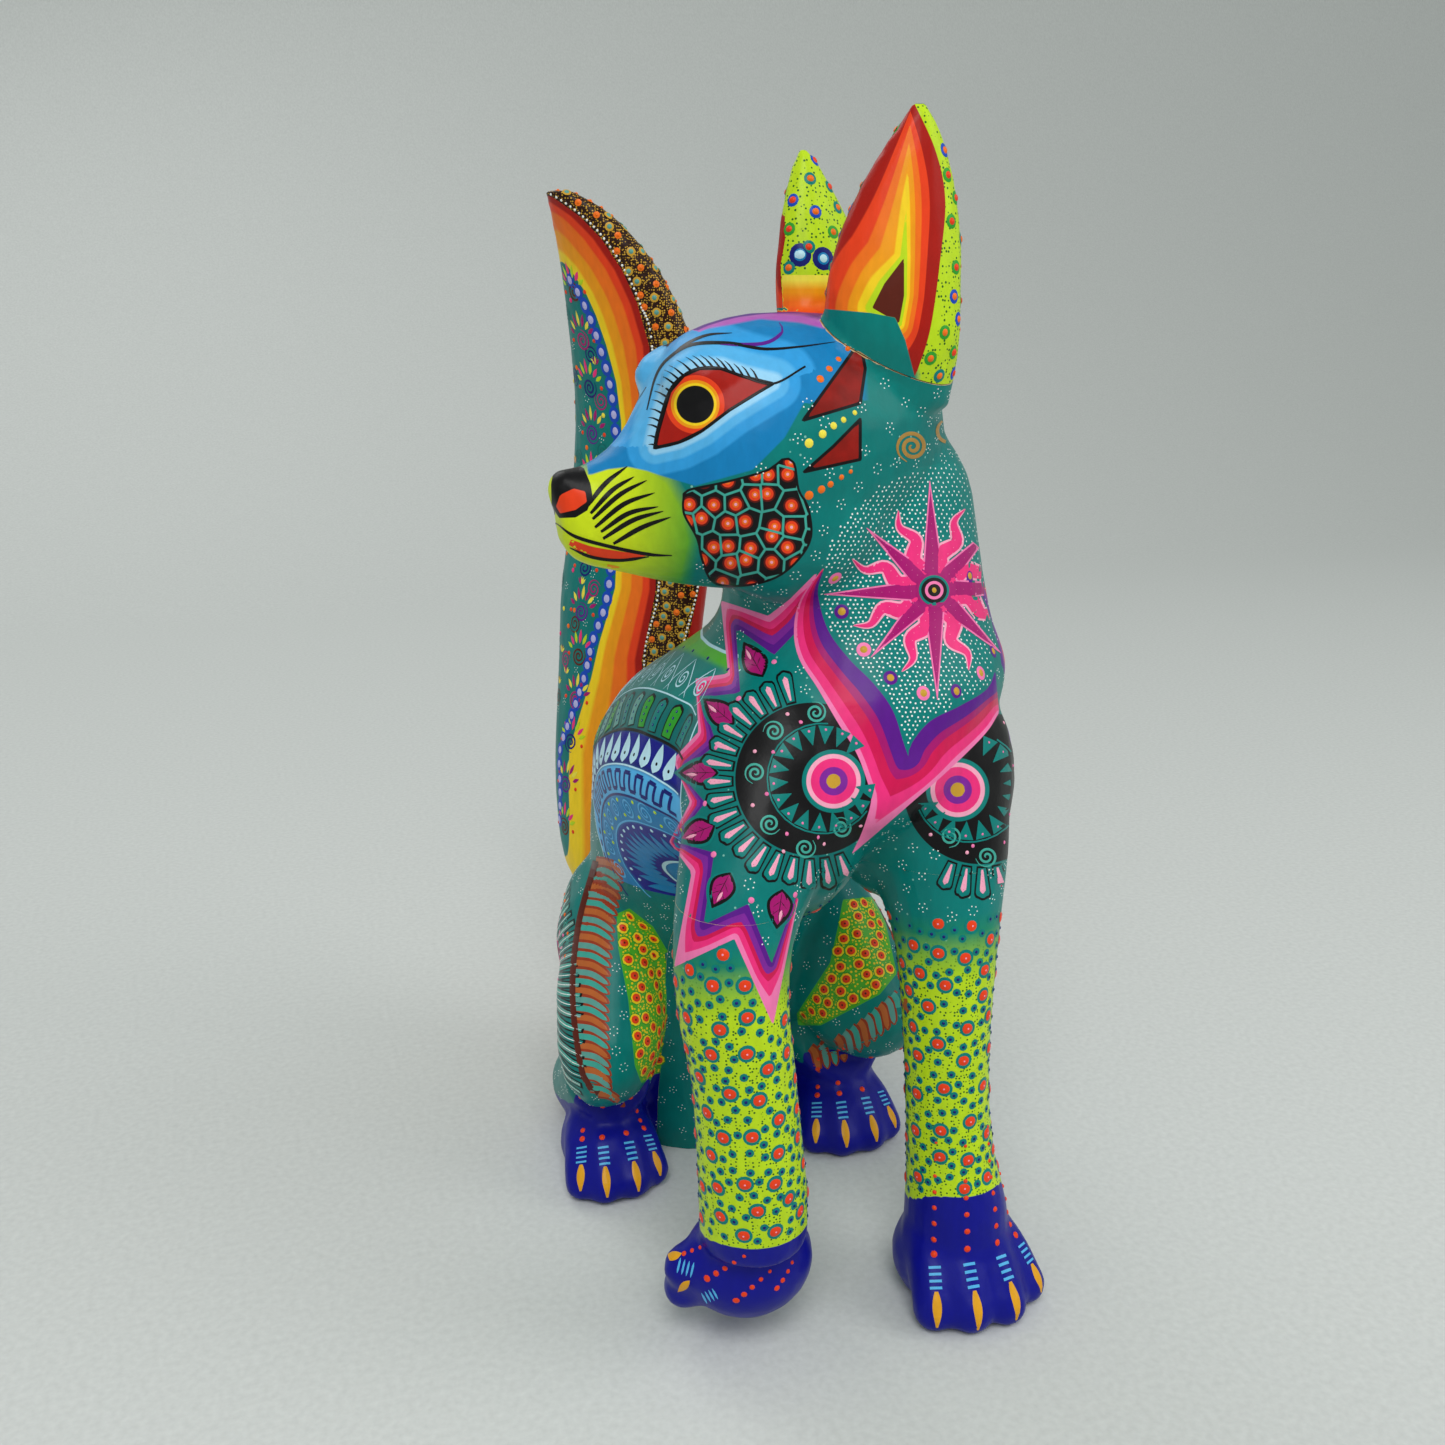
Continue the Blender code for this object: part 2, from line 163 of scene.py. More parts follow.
# ------------------------------------------------------------- carved skins
class Skin:
    """A CAD block refined to a smooth, dense mesh with paint attributes."""

    def __init__(self, node):
        self.name = node
        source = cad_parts[node]
        bm = bmesh.new()
        bm.from_mesh(source.data)
        bmesh.ops.remove_doubles(bm, verts=bm.verts, dist=0.02 * MM)
        bmesh.ops.triangulate(bm, faces=bm.faces)
        for _ in range(4):
            long = [e for e in bm.edges if e.calc_length() > STEP.get(node, 1.8) * MM]
            if not long:
                break
            bmesh.ops.subdivide_edges(bm, edges=long, cuts=1)
            bmesh.ops.triangulate(bm, faces=[f for f in bm.faces if len(f.verts) > 3])
        self.p = np.array([v.co[:] for v in bm.verts]) / MM - SHIFT
        self.f = np.array([[v.index for v in f.verts] for f in bm.faces])
        bm.free()
        self.joint = self.joint_points()
        self.relax(14)
        self.close_seams()
        self.n = self.normals()
        self.attr, self.taken = {}, []

    def close_seams(self):
        """Glued faces of the figure meet in the middle of their glue line."""
        if self.name in BODY:
            return
        for axis, at in PLANES:
            near = self.joint & (np.abs(self.p[:, axis] - at) < 0.5)
            self.p[near, axis] = at

    def joint_points(self):
        """Points on flat joint faces, tenons and sockets: bare wood."""
        p, hit = self.p, np.zeros(len(self.p), bool)
        x, y, z = p.T

        def plane(value, at, extra=True):
            return (np.abs(value - at) < 0.55) & extra

        if self.name in ("torso", "head"):
            hit |= plane(z, NECK_Z)
        if self.name in ("left_foreleg", "right_foreleg"):
            hit |= plane(z, LEG_TOP_Z) | (plane(y, LEG_BACK_Y) & (z > 100))
            hit |= (z > LEG_TOP_Z - 14) & self.bore(x, y)
        if "hind" in self.name:
            hit |= plane(x, RIGHT_HIP_X if self.name[0] == "r" else LEFT_HIP_X) | plane(z, HIP_TOP_Z)
        for side, (seat, axis) in (("left", LEFT_SEAT), ("right", RIGHT_SEAT)):
            axis = axis / np.linalg.norm(axis)
            run = (p - seat) @ axis
            off = np.linalg.norm(p - seat - run[:, None] * axis, axis=1)
            if self.name == side + "_ear":
                hit |= run < 0.3
            if self.name == "head":
                near = (y < HEAD_MID_Y) if side == "left" else (y > HEAD_MID_Y)
                hit |= (np.abs(run + 0.4) < 0.3) & near & (off < 34) | (off < 5.8) & (run < 0) & (run > -16)
        if self.name == "tail":
            hit |= y < TAIL_FACE_Y + 0.3
        if self.name == "torso":
            hit |= (y > 75) & (y < 106) & (np.hypot(x - 6, z - 52) < 12)
            hit |= plane(y, TAIL_FACE_Y) | plane(z, HIP_TOP_Z, (x < RIGHT_HIP_X) | (x > LEFT_HIP_X))
            hit |= plane(x, RIGHT_HIP_X, z < HIP_TOP_Z) | plane(x, LEFT_HIP_X, z < HIP_TOP_Z)
            hit |= plane(z, LEG_TOP_Z, y < LEG_BACK_Y) | plane(y, LEG_BACK_Y, z < LEG_TOP_Z)
        return hit

    @staticmethod
    def bore(x, y):
        return (np.hypot(x - 53, y + 72) < 5) | (np.hypot(x + 25, y + 86) < 5)

    def relax(self, rounds):
        """Rounds the facets off without shrinking the block."""
        edges = np.vstack((self.f[:, :2], self.f[:, 1:], self.f[:, [2, 0]]))
        a, b = np.concatenate((edges[:, 0], edges[:, 1])), np.concatenate((edges[:, 1], edges[:, 0]))
        count = np.bincount(a, minlength=len(self.p))[:, None]
        free = ~self.joint & (self.p[:, 2] > 0.2)
        for i in range(rounds * 2):
            mean = np.stack([np.bincount(a, self.p[b, k], len(self.p)) for k in range(3)], 1) / count
            step = (mean - self.p) * (0.55 if i % 2 == 0 else -0.57)
            self.p = self.p + step * free[:, None]

    def normals(self):
        a, b, c = (self.p[self.f[:, k]] for k in range(3))
        face = np.cross(b - a, c - a)
        total = np.stack([sum(np.bincount(self.f[:, k], face[:, j], len(self.p)) for k in range(3))
                          for j in range(3)], 1)
        return total / (np.linalg.norm(total, axis=1)[:, None] + 1e-12)

    def ready(self):
        """Call after the last change of shape."""
        self.n = self.normals()
        self.tree = BVHTree.FromPolygons([Vector(q) for q in self.p], self.f.tolist())

    def bare(self):
        """Faces of the joints themselves, not the paint next to them."""
        flat = self.joint[self.f].all(1)
        if self.name in BODY:
            return flat
        a, b, c = (self.p[self.f[:, k]] for k in range(3))
        n = np.cross(b - a, c - a)
        n /= np.linalg.norm(n, axis=1)[:, None] + 1e-12
        middle, edge, face = (a + b + c) / 3, np.zeros(len(a), bool), np.zeros(len(a), bool)
        for axis, at in PLANES:
            near = np.abs(middle[:, axis] - at) < 0.6
            edge |= near
            face |= near & (np.abs(n[:, axis]) > 0.8)
        return flat & (face | ~edge)

    def build(self, material, bare):
        mesh = bpy.data.meshes.new(self.name + "_skin")
        mesh.from_pydata(placed(self.p), [], self.f.tolist())
        for key, values in self.attr.items():
            mesh.attributes.new(key, 'FLOAT', 'POINT').data.foreach_set("value", values.astype(np.float32))
        thing = bpy.data.objects.new(self.name + "_skin", mesh)
        bpy.context.scene.collection.objects.link(thing)
        mesh.materials.append(material)
        mesh.materials.append(bare)
        mesh.polygons.foreach_set("material_index", self.bare().astype(np.int32))
        mesh.polygons.foreach_set("use_smooth", [True] * len(mesh.polygons))
        mesh.set_sharp_from_angle(angle=math.radians(55))
        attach(thing, BODY.get(self.name, "figure"))
        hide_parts(self.name)
        return thing


# ---------------------------------------------------------- paint on a skin
class Chart:
    """A drawing plane held in front of a skin; points drop along its normal."""

    def __init__(self, skin, origin, u, n, flip=1.0, turn=0.0, scale=1.0):
        self.skin, self.o = skin, np.array(origin, float)
        n = np.array(n, float) / np.linalg.norm(n)
        u = np.array(u, float) * flip
        u = u - n * (u @ n)
        u /= np.linalg.norm(u)
        v = np.array((0, 0, 1.0)) - n * n[2]
        v /= np.linalg.norm(v)
        t = math.radians(turn) * flip
        self.u = (u * math.cos(t) + v * math.sin(t)) * scale
        self.v = (v * math.cos(t) - u * math.sin(t)) * scale
        self.n = n

    def at(self, q):
        """Surface point and normal under a chart point, or None."""
        start = self.o + self.u * q[0] + self.v * q[1] - self.n * 150
        spot = self.skin.tree.ray_cast(Vector(start), Vector(self.n), 400)
        return (np.array(spot[0]), np.array(spot[1])) if spot[0] else None


class Paint:
    """Collects raised strokes and dots of one skin, one material per colour."""

    def __init__(self, skin):
        self.skin, self.verts, self.faces, self.slots = skin, [], [], []
        self.names = []

    def slot(self, colour):
        if colour not in self.names:
            self.names.append(colour)
        return self.names.index(colour)

    def add(self, points, faces, colour):
        base, slot = len(self.verts), self.slot(colour)
        self.verts += [tuple(q) for q in points]
        self.faces += [tuple(base + i for i in f) for f in faces]
        self.slots += [slot] * len(faces)

    def take(self, point, radius):
        self.skin.taken.append((*point, radius))

    def spot(self, point, normal, r, colour, rise=0.25, sink=0.06, n=10, long=1.0, along=None):
        """A dome of paint."""
        normal = np.array(normal, float)
        side = np.cross(normal, along if along is not None else (0.31, 0.17, 0.94))
        side /= np.linalg.norm(side) + 1e-9
        other = np.cross(normal, side) * long
        if r > 2.2:
            snap = self.skin.tree.find_nearest
        else:
            snap = None
        pts = [np.array(point) + normal * rise]
        rows = ((0.6, 0.8), (1.0, 0.0)) if n > 6 else ((1.0, 0.0),)
        for reach, lift in rows:
            for j in range(n):
                a = 2 * math.pi * j / n
                q = np.array(point) + (side * math.cos(a) + other * math.sin(a)) * r * reach
                hit = snap(Vector(q)) if snap else (None,)
                if hit[0]:
                    q, m = np.array(hit[0]), np.array(hit[1])
                    q = q + m * (rise * lift + (0 if lift else sink))
                else:
                    q = q + normal * (rise * lift if lift else (-sink if r < 1.2 else sink))
                pts.append(q)
        faces = [(0, 1 + j, 1 + (j + 1) % n) for j in range(n)]
        if len(rows) == 2:
            faces += [(1 + j, 1 + n + j, 1 + n + (j + 1) % n, 1 + (j + 1) % n) for j in range(n)]
        self.add(pts, faces, colour)

    def dot(self, chart, q, r, colour, rise=0.25, n=10, **more):
        hit = chart.at(q)
        if hit:
            self.spot(*hit, r, colour, rise, n=n, **more)
            self.take(hit[0], r)

    def stroke(self, chart, points, width, colour, rise=0.12, step=1.2, taper=True, across=2,
               keep=True, raw=False):
        """A ribbon along a chart curve; width is a number or a function of 0..1."""
        line = np.array(points, float) if raw else spline(points, step)
        if len(line) < 2:
            return
        run = np.gradient(line, axis=0)
        run /= np.linalg.norm(run, axis=1)[:, None] + 1e-9
        side = np.stack((-run[:, 1], run[:, 0]), 1)
        rows, n = [], len(line)
        for i, (q, s) in enumerate(zip(line, side)):
            t = i / (n - 1)
            w = width(t) if callable(width) else width * (min(1, 0.25 + 4 * min(t, 1 - t)) if taper else 1)
            row = []
            for k in range(across + 1):
                c = 2 * k / across - 1
                hit = chart.at(q + s * c * w / 2)
                if hit is None:
                    row = None
                    break
                row.append(hit[0] + hit[1] * (rise * (0.55 if abs(c) > 0.9 else 1.0)))
            if row and keep and i % 2 == 0:
                self.take(row[across // 2], w / 2)
            rows.append(row)
        wide = max(width(t) for t in (0.0, 0.3, 0.6)) if callable(width) else width
        for r0, r1 in zip(rows, rows[1:]):
            if not (r0 and r1):
                continue
            jump = max(np.linalg.norm(a - b) for a, b in zip(r0, r1))
            spread = max(np.linalg.norm(r[0] - r[-1]) for r in (r0, r1))
            if raw or jump < 6 * step + 1 and spread < 3 * wide + 2:
                self.add(r0 + r1, [(k, k + 1, across + 2 + k, across + 1 + k) for k in range(across)], colour)

    def leaf(self, chart, root, tip, width, colour, rise=0.12, belly=0.4, across=4, keep=True):
        """A pointed blade from root to tip, widest at belly."""
        def shape(t):
            x = t / belly if t < belly else (1 - t) / (1 - belly)
            return width * math.sin(min(1, max(0.02, x)) * math.pi / 2) ** 0.9
        self.stroke(chart, (root, tip), shape, colour, rise, 0.9, across=across, keep=keep)

    def petal(self, chart, root, tip, width, colour, rise=0.12, across=4, keep=True, point=0.35):
        """A finger: narrow at the root, round at the tip."""
        def shape(t):
            tip = max(0.0, (t - 0.78) / 0.22)
            return width * (point + (1 - point) * t) * math.sqrt(max(0.02, 1 - tip ** 2))
        self.stroke(chart, (root, tip), shape, colour, rise, 0.9, across=across, keep=keep)

    def ring(self, chart, centre, r0, r1, colour, rise=0.1, squash=1.0, n=40):
        """A flat ring or, with r0 = 0, a disc of paint."""
        rows = []
        for j in range(n):
            a = 2 * math.pi * j / n
            d = np.array((math.cos(a), math.sin(a) * squash))
            row = [chart.at(np.array(centre) + d * (r0 + (r1 - r0) * k / 3)) for k in range(4)]
            rows.append([h[0] + h[1] * rise for h in row] if all(row) else None)
            if rows[-1]:
                self.take(rows[-1][2], (r1 - r0) / 2)
        for j in range(n):
            a, b = rows[j], rows[(j + 1) % n]
            if a and b and max(np.linalg.norm(u - v) for u, v in zip(a + a, b + a[::-1])) < 3 * r1 + 2:
                self.add(a + b, [(k, k + 1, 5 + k, 4 + k) for k in range(3)], colour)

    def spiral(self, chart, centre, r, colour, width=0.7, turns=2.2, start=0.0, hand=1, rise=0.16):
        pts = [(centre[0] + r * s * math.cos(start + hand * s * turns * 2 * math.pi),
                centre[1] + r * s * math.sin(start + hand * s * turns * 2 * math.pi))
               for s in np.linspace(0.08, 1, int(10 * turns))]
        self.stroke(chart, pts, width, colour, rise, 0.8)

    def free(self, points, gap):
        """Index of points further than gap from anything already painted."""
        if not self.skin.taken:
            return np.arange(len(points))
        taken = np.array(self.skin.taken)
        ok = np.ones(len(points), bool)
        for i in range(0, len(points), 400):
            d = np.linalg.norm(points[i:i + 400, None, :] - taken[None, :, :3], axis=2) - taken[:, 3]
            ok[i:i + 400] = d.min(1) > gap
        return np.nonzero(ok)[0]

    def scatter(self, mask, spacing, gap=0.4):
        """Evenly spread surface points inside a mask, clear of other marks."""
        pool = np.nonzero(mask & ~self.skin.joint)[0]
        rng.shuffle(pool)
        pool = pool[:26000]
        pool = pool[self.free(self.skin.p[pool], gap)] if len(pool) else pool
        cells, kept = {}, []
        for i in pool:
            p = self.skin.p[i]
            key = tuple((p // spacing).astype(int))
            near = (cells.get((key[0] + a, key[1] + b, key[2] + c),
                ()) for a in (-1, 0, 1) for b in (-1, 0, 1)
                    for c in (-1, 0, 1))
            if all(np.dot(p - q, p - q) > spacing * spacing for group in near for q in group):
                cells.setdefault(key, []).append(p)
                kept.append(i)
        return kept

    def floret(self, point, normal, colour="white", r=1.5):
        """Four to six small dots in a ring, and one in the middle when there are fewer than six."""
        normal = np.array(normal)
        side = np.cross(normal, (0.2, 0.3, 0.9))
        side /= np.linalg.norm(side)
        other = np.cross(normal, side)
        spin, count = random.random() * 6, random.choice((4, 5, 6))
        for j in range(count):
            a = spin + j * 2 * math.pi / count
            q = point + (side * math.cos(a) + other * math.sin(a)) * r * (0.75 + 0.06 * count)
            hit = self.skin.tree.find_nearest(Vector(q))
            if hit[0]:
                self.spot(np.array(hit[0]), np.array(hit[1]), 0.36, colour, 0.16, n=6)
        if count < 6:
            self.spot(point, normal, 0.36, colour, 0.16, n=6)
        self.take(point, r + 0.4)

    def build(self, label):
        mesh = bpy.data.meshes.new(label + "_brushwork")
        mesh.from_pydata(placed(self.verts), [], self.faces)
        for colour in self.names:
            mesh.materials.append(enamel(colour))
        mesh.polygons.foreach_set("material_index", self.slots)
        mesh.polygons.foreach_set("use_smooth", [True] * len(mesh.polygons))
        thing = bpy.data.objects.new(label + "_brushwork", mesh)
        bpy.context.scene.collection.objects.link(thing)
        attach(thing, BODY.get(self.skin.name, "figure"))
        return thing


# ------------------------------------------------- the drawing thrown on it
EYE = np.array((-183.75, -521.97, 361.5))
AHEAD, RIGHT, UP = (np.array(v) for v in ((0.3129, 0.909, -0.2756), (0.9456, -0.3255, 0.0),
                                          (0.0897, 0.2606, 0.9613)))
REACH = 500.0                             # the drawing plane stands this far away


class Sight(Chart):
    """A drawing seen from one point; mirror = (axis, plane) gives its twin."""

    def __init__(self, skin, mirror=None):
        self.skin = skin
        self.eye, self.a, self.r, self.t = EYE.copy(), AHEAD.copy(), RIGHT.copy(), UP.copy()
        self.twin = bool(mirror)
        if mirror:
            k, at = mirror
            self.eye[k] = 2 * at - self.eye[k]
            for v in (self.a, self.r, self.t):
                v[k] = -v[k]

    def at(self, q):
        ray = self.a * REACH + self.r * q[0] + self.t * q[1]
        spot = self.skin.tree.ray_cast(Vector(self.eye), Vector(ray / np.linalg.norm(ray)), 1200)
        if spot[0] and self.twin and (EYE - np.array(spot[0])) @ np.array(spot[1]) > 90:
            return None
        return (np.array(spot[0]), np.array(spot[1])) if spot[0] else None

    def flat(self, p):
        """Drawing-plane millimetres of surface points."""
        d = p - self.eye
        return np.stack((d @ self.r, d @ self.t), 1) * (REACH / (d @ self.a))[:, None]

    def facing(self, skin):
        d = skin.p - self.eye
        return -(skin.n * d).sum(1) / np.linalg.norm(d, axis=1)


class Figure:
    """Several glued skins painted as one."""

    def __init__(self, name, skins):
        self.name, self.skins, self.taken = name, skins, []
        self.p = np.vstack([s.p for s in skins])
        self.n = np.vstack([s.n for s in skins])
        self.joint = np.concatenate([s.joint for s in skins])
        self.part = np.concatenate([[i] * len(s.p) for i, s in enumerate(skins)])
        base = np.cumsum([0] + [len(s.p) for s in skins[:-1]])
        faces = np.vstack([s.f[~s.joint[s.f].all(1)] + b for s, b in zip(skins, base)])
        self.f = faces
        self.tree = BVHTree.FromPolygons([Vector(q) for q in self.p], faces.tolist())


# ------------------------------------------------------------------ coats
class Coat:
    """Satin acrylic on sanded wood; bands and fields come from attributes."""

    def __init__(self, name, base, rough=0.36, grain=0.06):
        self.mat = bpy.data.materials.new(name)
        self.mat.use_nodes = True
        self.tree = self.mat.node_tree
        self.tree.nodes.clear()
        self.grain, self.rough = grain, rough
        self.mm = self.node('ShaderNodeVectorMath', operation='SCALE')
        self.tree.links.new(self.node('ShaderNodeTexCoord').outputs['Object'], self.mm.inputs[0])
        self.mm.inputs['Scale'].default_value = 1000
        self.mm = self.mm.outputs[0]
        self.colour = self.plain(base)
        self.lift = None

    def node(self, kind, **settings):
        n = self.tree.nodes.new(kind)
        for key, value in settings.items():
            setattr(n, key, value)
        return n

    def wire(self, value, socket):
        if isinstance(value, bpy.types.NodeSocket):
            self.tree.links.new(value, socket)
        elif value is not None:
            socket.default_value = value

    def plain(self, colour):
        n = self.node('ShaderNodeRGB')
        n.outputs[0].default_value = (*C.get(colour, colour), 1) if isinstance(colour, str) else (*colour, 1)
        return n.outputs[0]

    def attr(self, name):
        return self.node('ShaderNodeAttribute', attribute_name=name).outputs['Fac']

    def maths(self, operation, a, b=None, c=None, clamp=False):
        n = self.node('ShaderNodeMath', operation=operation, use_clamp=clamp)
        for value, socket in zip((a, b, c), n.inputs):
            self.wire(value, socket)
        return n.outputs[0]

    def edge(self, mm, width=0.12):
        """0..1 factor from millimetres inside a shape."""
        return self.maths('MULTIPLY_ADD', mm, 1 / width, 0.5, clamp=True)

    def mix(self, factor, a, b, blend='MIX'):
        n = self.node('ShaderNodeMix', data_type='RGBA', blend_type=blend)
        self.wire(factor, n.inputs['Factor'])
        self.wire(a if not isinstance(a, str) else self.plain(a), n.inputs[6])
        self.wire(b if not isinstance(b, str) else self.plain(b), n.inputs[7])
        return n.outputs[2]

    def noise(self, scale, detail=2.0, vector=None):
        n = self.node('ShaderNodeTexNoise')
        self.wire(vector or self.mm, n.inputs['Vector'])
        n.inputs['Scale'].default_value, n.inputs['Detail'].default_value = scale, detail
        return n.outputs['Fac']

    def flat(self, a, b):
        n = self.node('ShaderNodeCombineXYZ')
        self.wire(self.attr(a), n.inputs[0])
        self.wire(self.attr(b), n.inputs[1])
        return n.outputs[0]

    def specks(self, spacing, radius, vector=None, even=0.6):
        """0..1 factor of small round dots in rows."""
        n = self.node('ShaderNodeTexVoronoi', voronoi_dimensions='2D' if vector else '3D')
        self.wire(vector or self.mm, n.inputs['Vector'])
        n.inputs['Scale'].default_value = 1 / spacing
        n.inputs['Randomness'].default_value = even
        return self.edge(self.maths('MULTIPLY_ADD', n.outputs['Distance'], -spacing, radius), 0.12)

    def net(self, spacing, width, vector=None, even=0.75):
        """0..1 factor of the lines between cells."""
        n = self.node('ShaderNodeTexVoronoi', voronoi_dimensions='2D' if vector else '3D',
                      feature='DISTANCE_TO_EDGE')
        self.wire(vector or self.mm, n.inputs['Vector'])
        n.inputs['Scale'].default_value = 1 / spacing
        n.inputs['Randomness'].default_value = even
        return self.edge(self.maths('MULTIPLY_ADD', n.outputs['Distance'], -spacing, width / 2), 0.15)

    def steps(self, t, colours, blend=0.0, at=None):
        """Even bands of colour along t."""
        n = self.node('ShaderNodeValToRGB')
        ramp = n.color_ramp
        ramp.interpolation = 'LINEAR'
        count = len(colours)
        stops = at or [(i + 1) / count for i in range(count - 1)]
        half = max(blend / 2, 0.006)
        points = [(0.0, colours[0])]
        for s, a, b in zip(stops, colours, colours[1:]):
            points += [(max(0.0, s - half), a), (min(1.0, s + half), b)]
        while len(ramp.elements) < len(points):
            ramp.elements.new(1.0)
        for e, (where, colour) in zip(ramp.elements, points):
            e.position = where
            e.color = (*C[colour], 1)
        self.wire(t if isinstance(t, bpy.types.NodeSocket) else self.attr(t), n.inputs[0])
        return n.outputs[0]

    def over(self, mask, colour, width=0.15):
        """Lays a colour where the mask, in mm or as a socket, is positive."""
        factor = self.edge(self.attr(mask), width) if isinstance(mask, str) else mask
        top = self.plain(colour) if isinstance(colour, str) else colour
        self.colour = self.mix(factor, self.colour, top)

    def line(self, mask, width, colour):
        d = self.maths('ABSOLUTE', self.attr(mask))
        self.over(self.edge(self.maths('MULTIPLY_ADD', d, -1, width / 2), 0.15), colour)

    def finish(self):
        b = self.node('ShaderNodeBsdfPrincipled')
        stroke = self.node('ShaderNodeMapping')
        stroke.inputs['Scale'].default_value = (1.0, 1.0, 0.35)
        self.wire(self.mm, stroke.inputs['Vector'])
        brush = self.noise(0.35, 3, stroke.outputs[0])
        tone = self.maths('MULTIPLY_ADD', brush, 0.26, 0.87)
        shade = self.mix(1.0, self.colour, 'white', 'MULTIPLY')
        grey = self.node('ShaderNodeCombineColor')
        for socket in grey.inputs[:3]:
            self.wire(tone, socket)
        self.tree.links.new(grey.outputs[0], shade.node.inputs[7])
        self.wire(shade, b.inputs['Base Color'])
        gloss = self.maths('MULTIPLY_ADD', self.noise(0.12, 2), 0.16, self.rough - 0.08)
        self.wire(gloss, b.inputs['Roughness'])
        b.inputs['Specular IOR Level'].default_value = 0.17
        bump = self.node('ShaderNodeBump')
        bump.inputs['Strength'].default_value = 0.35
        bump.inputs['Distance'].default_value = self.grain * MM * 2
        self.wire(self.maths('ADD', self.noise(0.9, 4), self.noise(0.16, 1)), bump.inputs['Height'])
        self.wire(bump.outputs[0], b.inputs['Normal'])
        out = self.node('ShaderNodeOutputMaterial')
        self.tree.links.new(b.outputs[0], out.inputs['Surface'])
        return self.mat


ENAMEL = {}


def enamel(name):
    """The paint of raised strokes and dots."""
    if name not in ENAMEL:
        coat = Coat("stroke_" + name, name, 0.32, 0.02)
        if name in ("gold", "ochre"):
            coat.rough = 0.3
        ENAMEL[name] = coat.finish()
    return ENAMEL[name]


def wood(name):
    """Bare sanded copal: pale, with soft growth rings and fine pores."""
    coat = Coat(name, "wood", 0.62, 0.1)
    rings = coat.node('ShaderNodeTexWave', wave_type='RINGS', rings_direction='Z')
    coat.wire(coat.mm, rings.inputs['Vector'])
    rings.inputs['Scale'].default_value = 0.05
    rings.inputs['Distortion'].default_value = 3.0
    coat.colour = coat.mix(coat.maths('MULTIPLY', rings.outputs['Fac'], 0.45), "wood", "cream")
    coat.over(coat.maths('MULTIPLY', coat.specks(1.6, 0.2), 0.3), "rust")
    return coat.finish()


# ------------------------------------------------------------ the skins
skins = {name: Skin(name) for name in PIECES}
head = skins["head"]
for skin in skins.values():
    skin.ready()
figure = Figure("figure", [skins[n] for n in PIECES[:6]])
sight = Sight(figure)
head_twin = Sight(figure, (1, HEAD_MID_Y))

# Outlines of the front drawing, in millimetres on a plane 500 mm in front of EYE.  Most of
# them were read off the photo by eye, as pixel positions, and turned into millimetres by a
# helper script; V_OUT, V_IN, parts of the zigzag and SUN were places on the figure, put on
# the plane by the same helper.
EYE_A, EYE_B = np.array((37.5, -19.8)), np.array((79.4, -22.7))
V_OUT = [(34.7, 53.1), (26.4, 41.7), (24.1, 31.3), (25.9, 21.5), (32, 11.8), (38.8, 0.2),
    (45.2, -10.2), (49, -20.3), (50.2, -26.4), (47.2, -36.7), (43.5, -44.6), (53.7, -35.9),
        (63.1, -27.7), (76.2, -16.2), (88.6, -3.9), (93.4, 3.4)]
V_IN = [(33.8, 50.4), (32.2, 43.5), (35.6, 31.3), (42.9, 21.3), (50.8, 13.4), (57.4, 4.3),
    (61.1, -6.7), (62.8, -11.6), (63.9, -6.9), (70.1, 0.5), (80.1, 5.6), (89.3, 11.3), (92.1, 17.8)]
ZIG_OUT = [(31.9, 50.8), (22.8, 41.7), (15.4, 36)] + [(-0.6, 41.2), (1.9, 16.5), (-9.1, 14.8),
    (-8.1, -3.1), (-16.7, -12.5), (-10.9, -26.9), (-18, -40.2),
        (-10.4, -50.6)] + [(-16.4, -82.6)] + [(4, -73), (17.1, -102.3), (21.3, -81.1), (25.8, -58.5)]
ZIG_IN = [(29.2, 39.4), (26.2, 31.9), (17.4, 22.8)] + [(4.5, 32), (6, 10), (-7.1, 8.5), (-2, -7.4),
    (-14.5, -17), (-5.8, -27), (-16.3, -40.2), (-2.8, -43.9), (-6.4, -68.3), (8.7, -61.2),
        (16.6, -81.4), (24.3, -59.7)]


V_OUT = np.vstack((spline(V_OUT[:11], 2.0), spline(V_OUT[10:], 2.0)))
V_IN = np.vstack((spline(V_IN[:8], 2.0), spline(V_IN[7:], 2.0)))


def tooth(x, span):
    """0..1..0 once every span."""
    return 1 - np.abs(2 * (x / span - np.floor(x / span)) - 1)


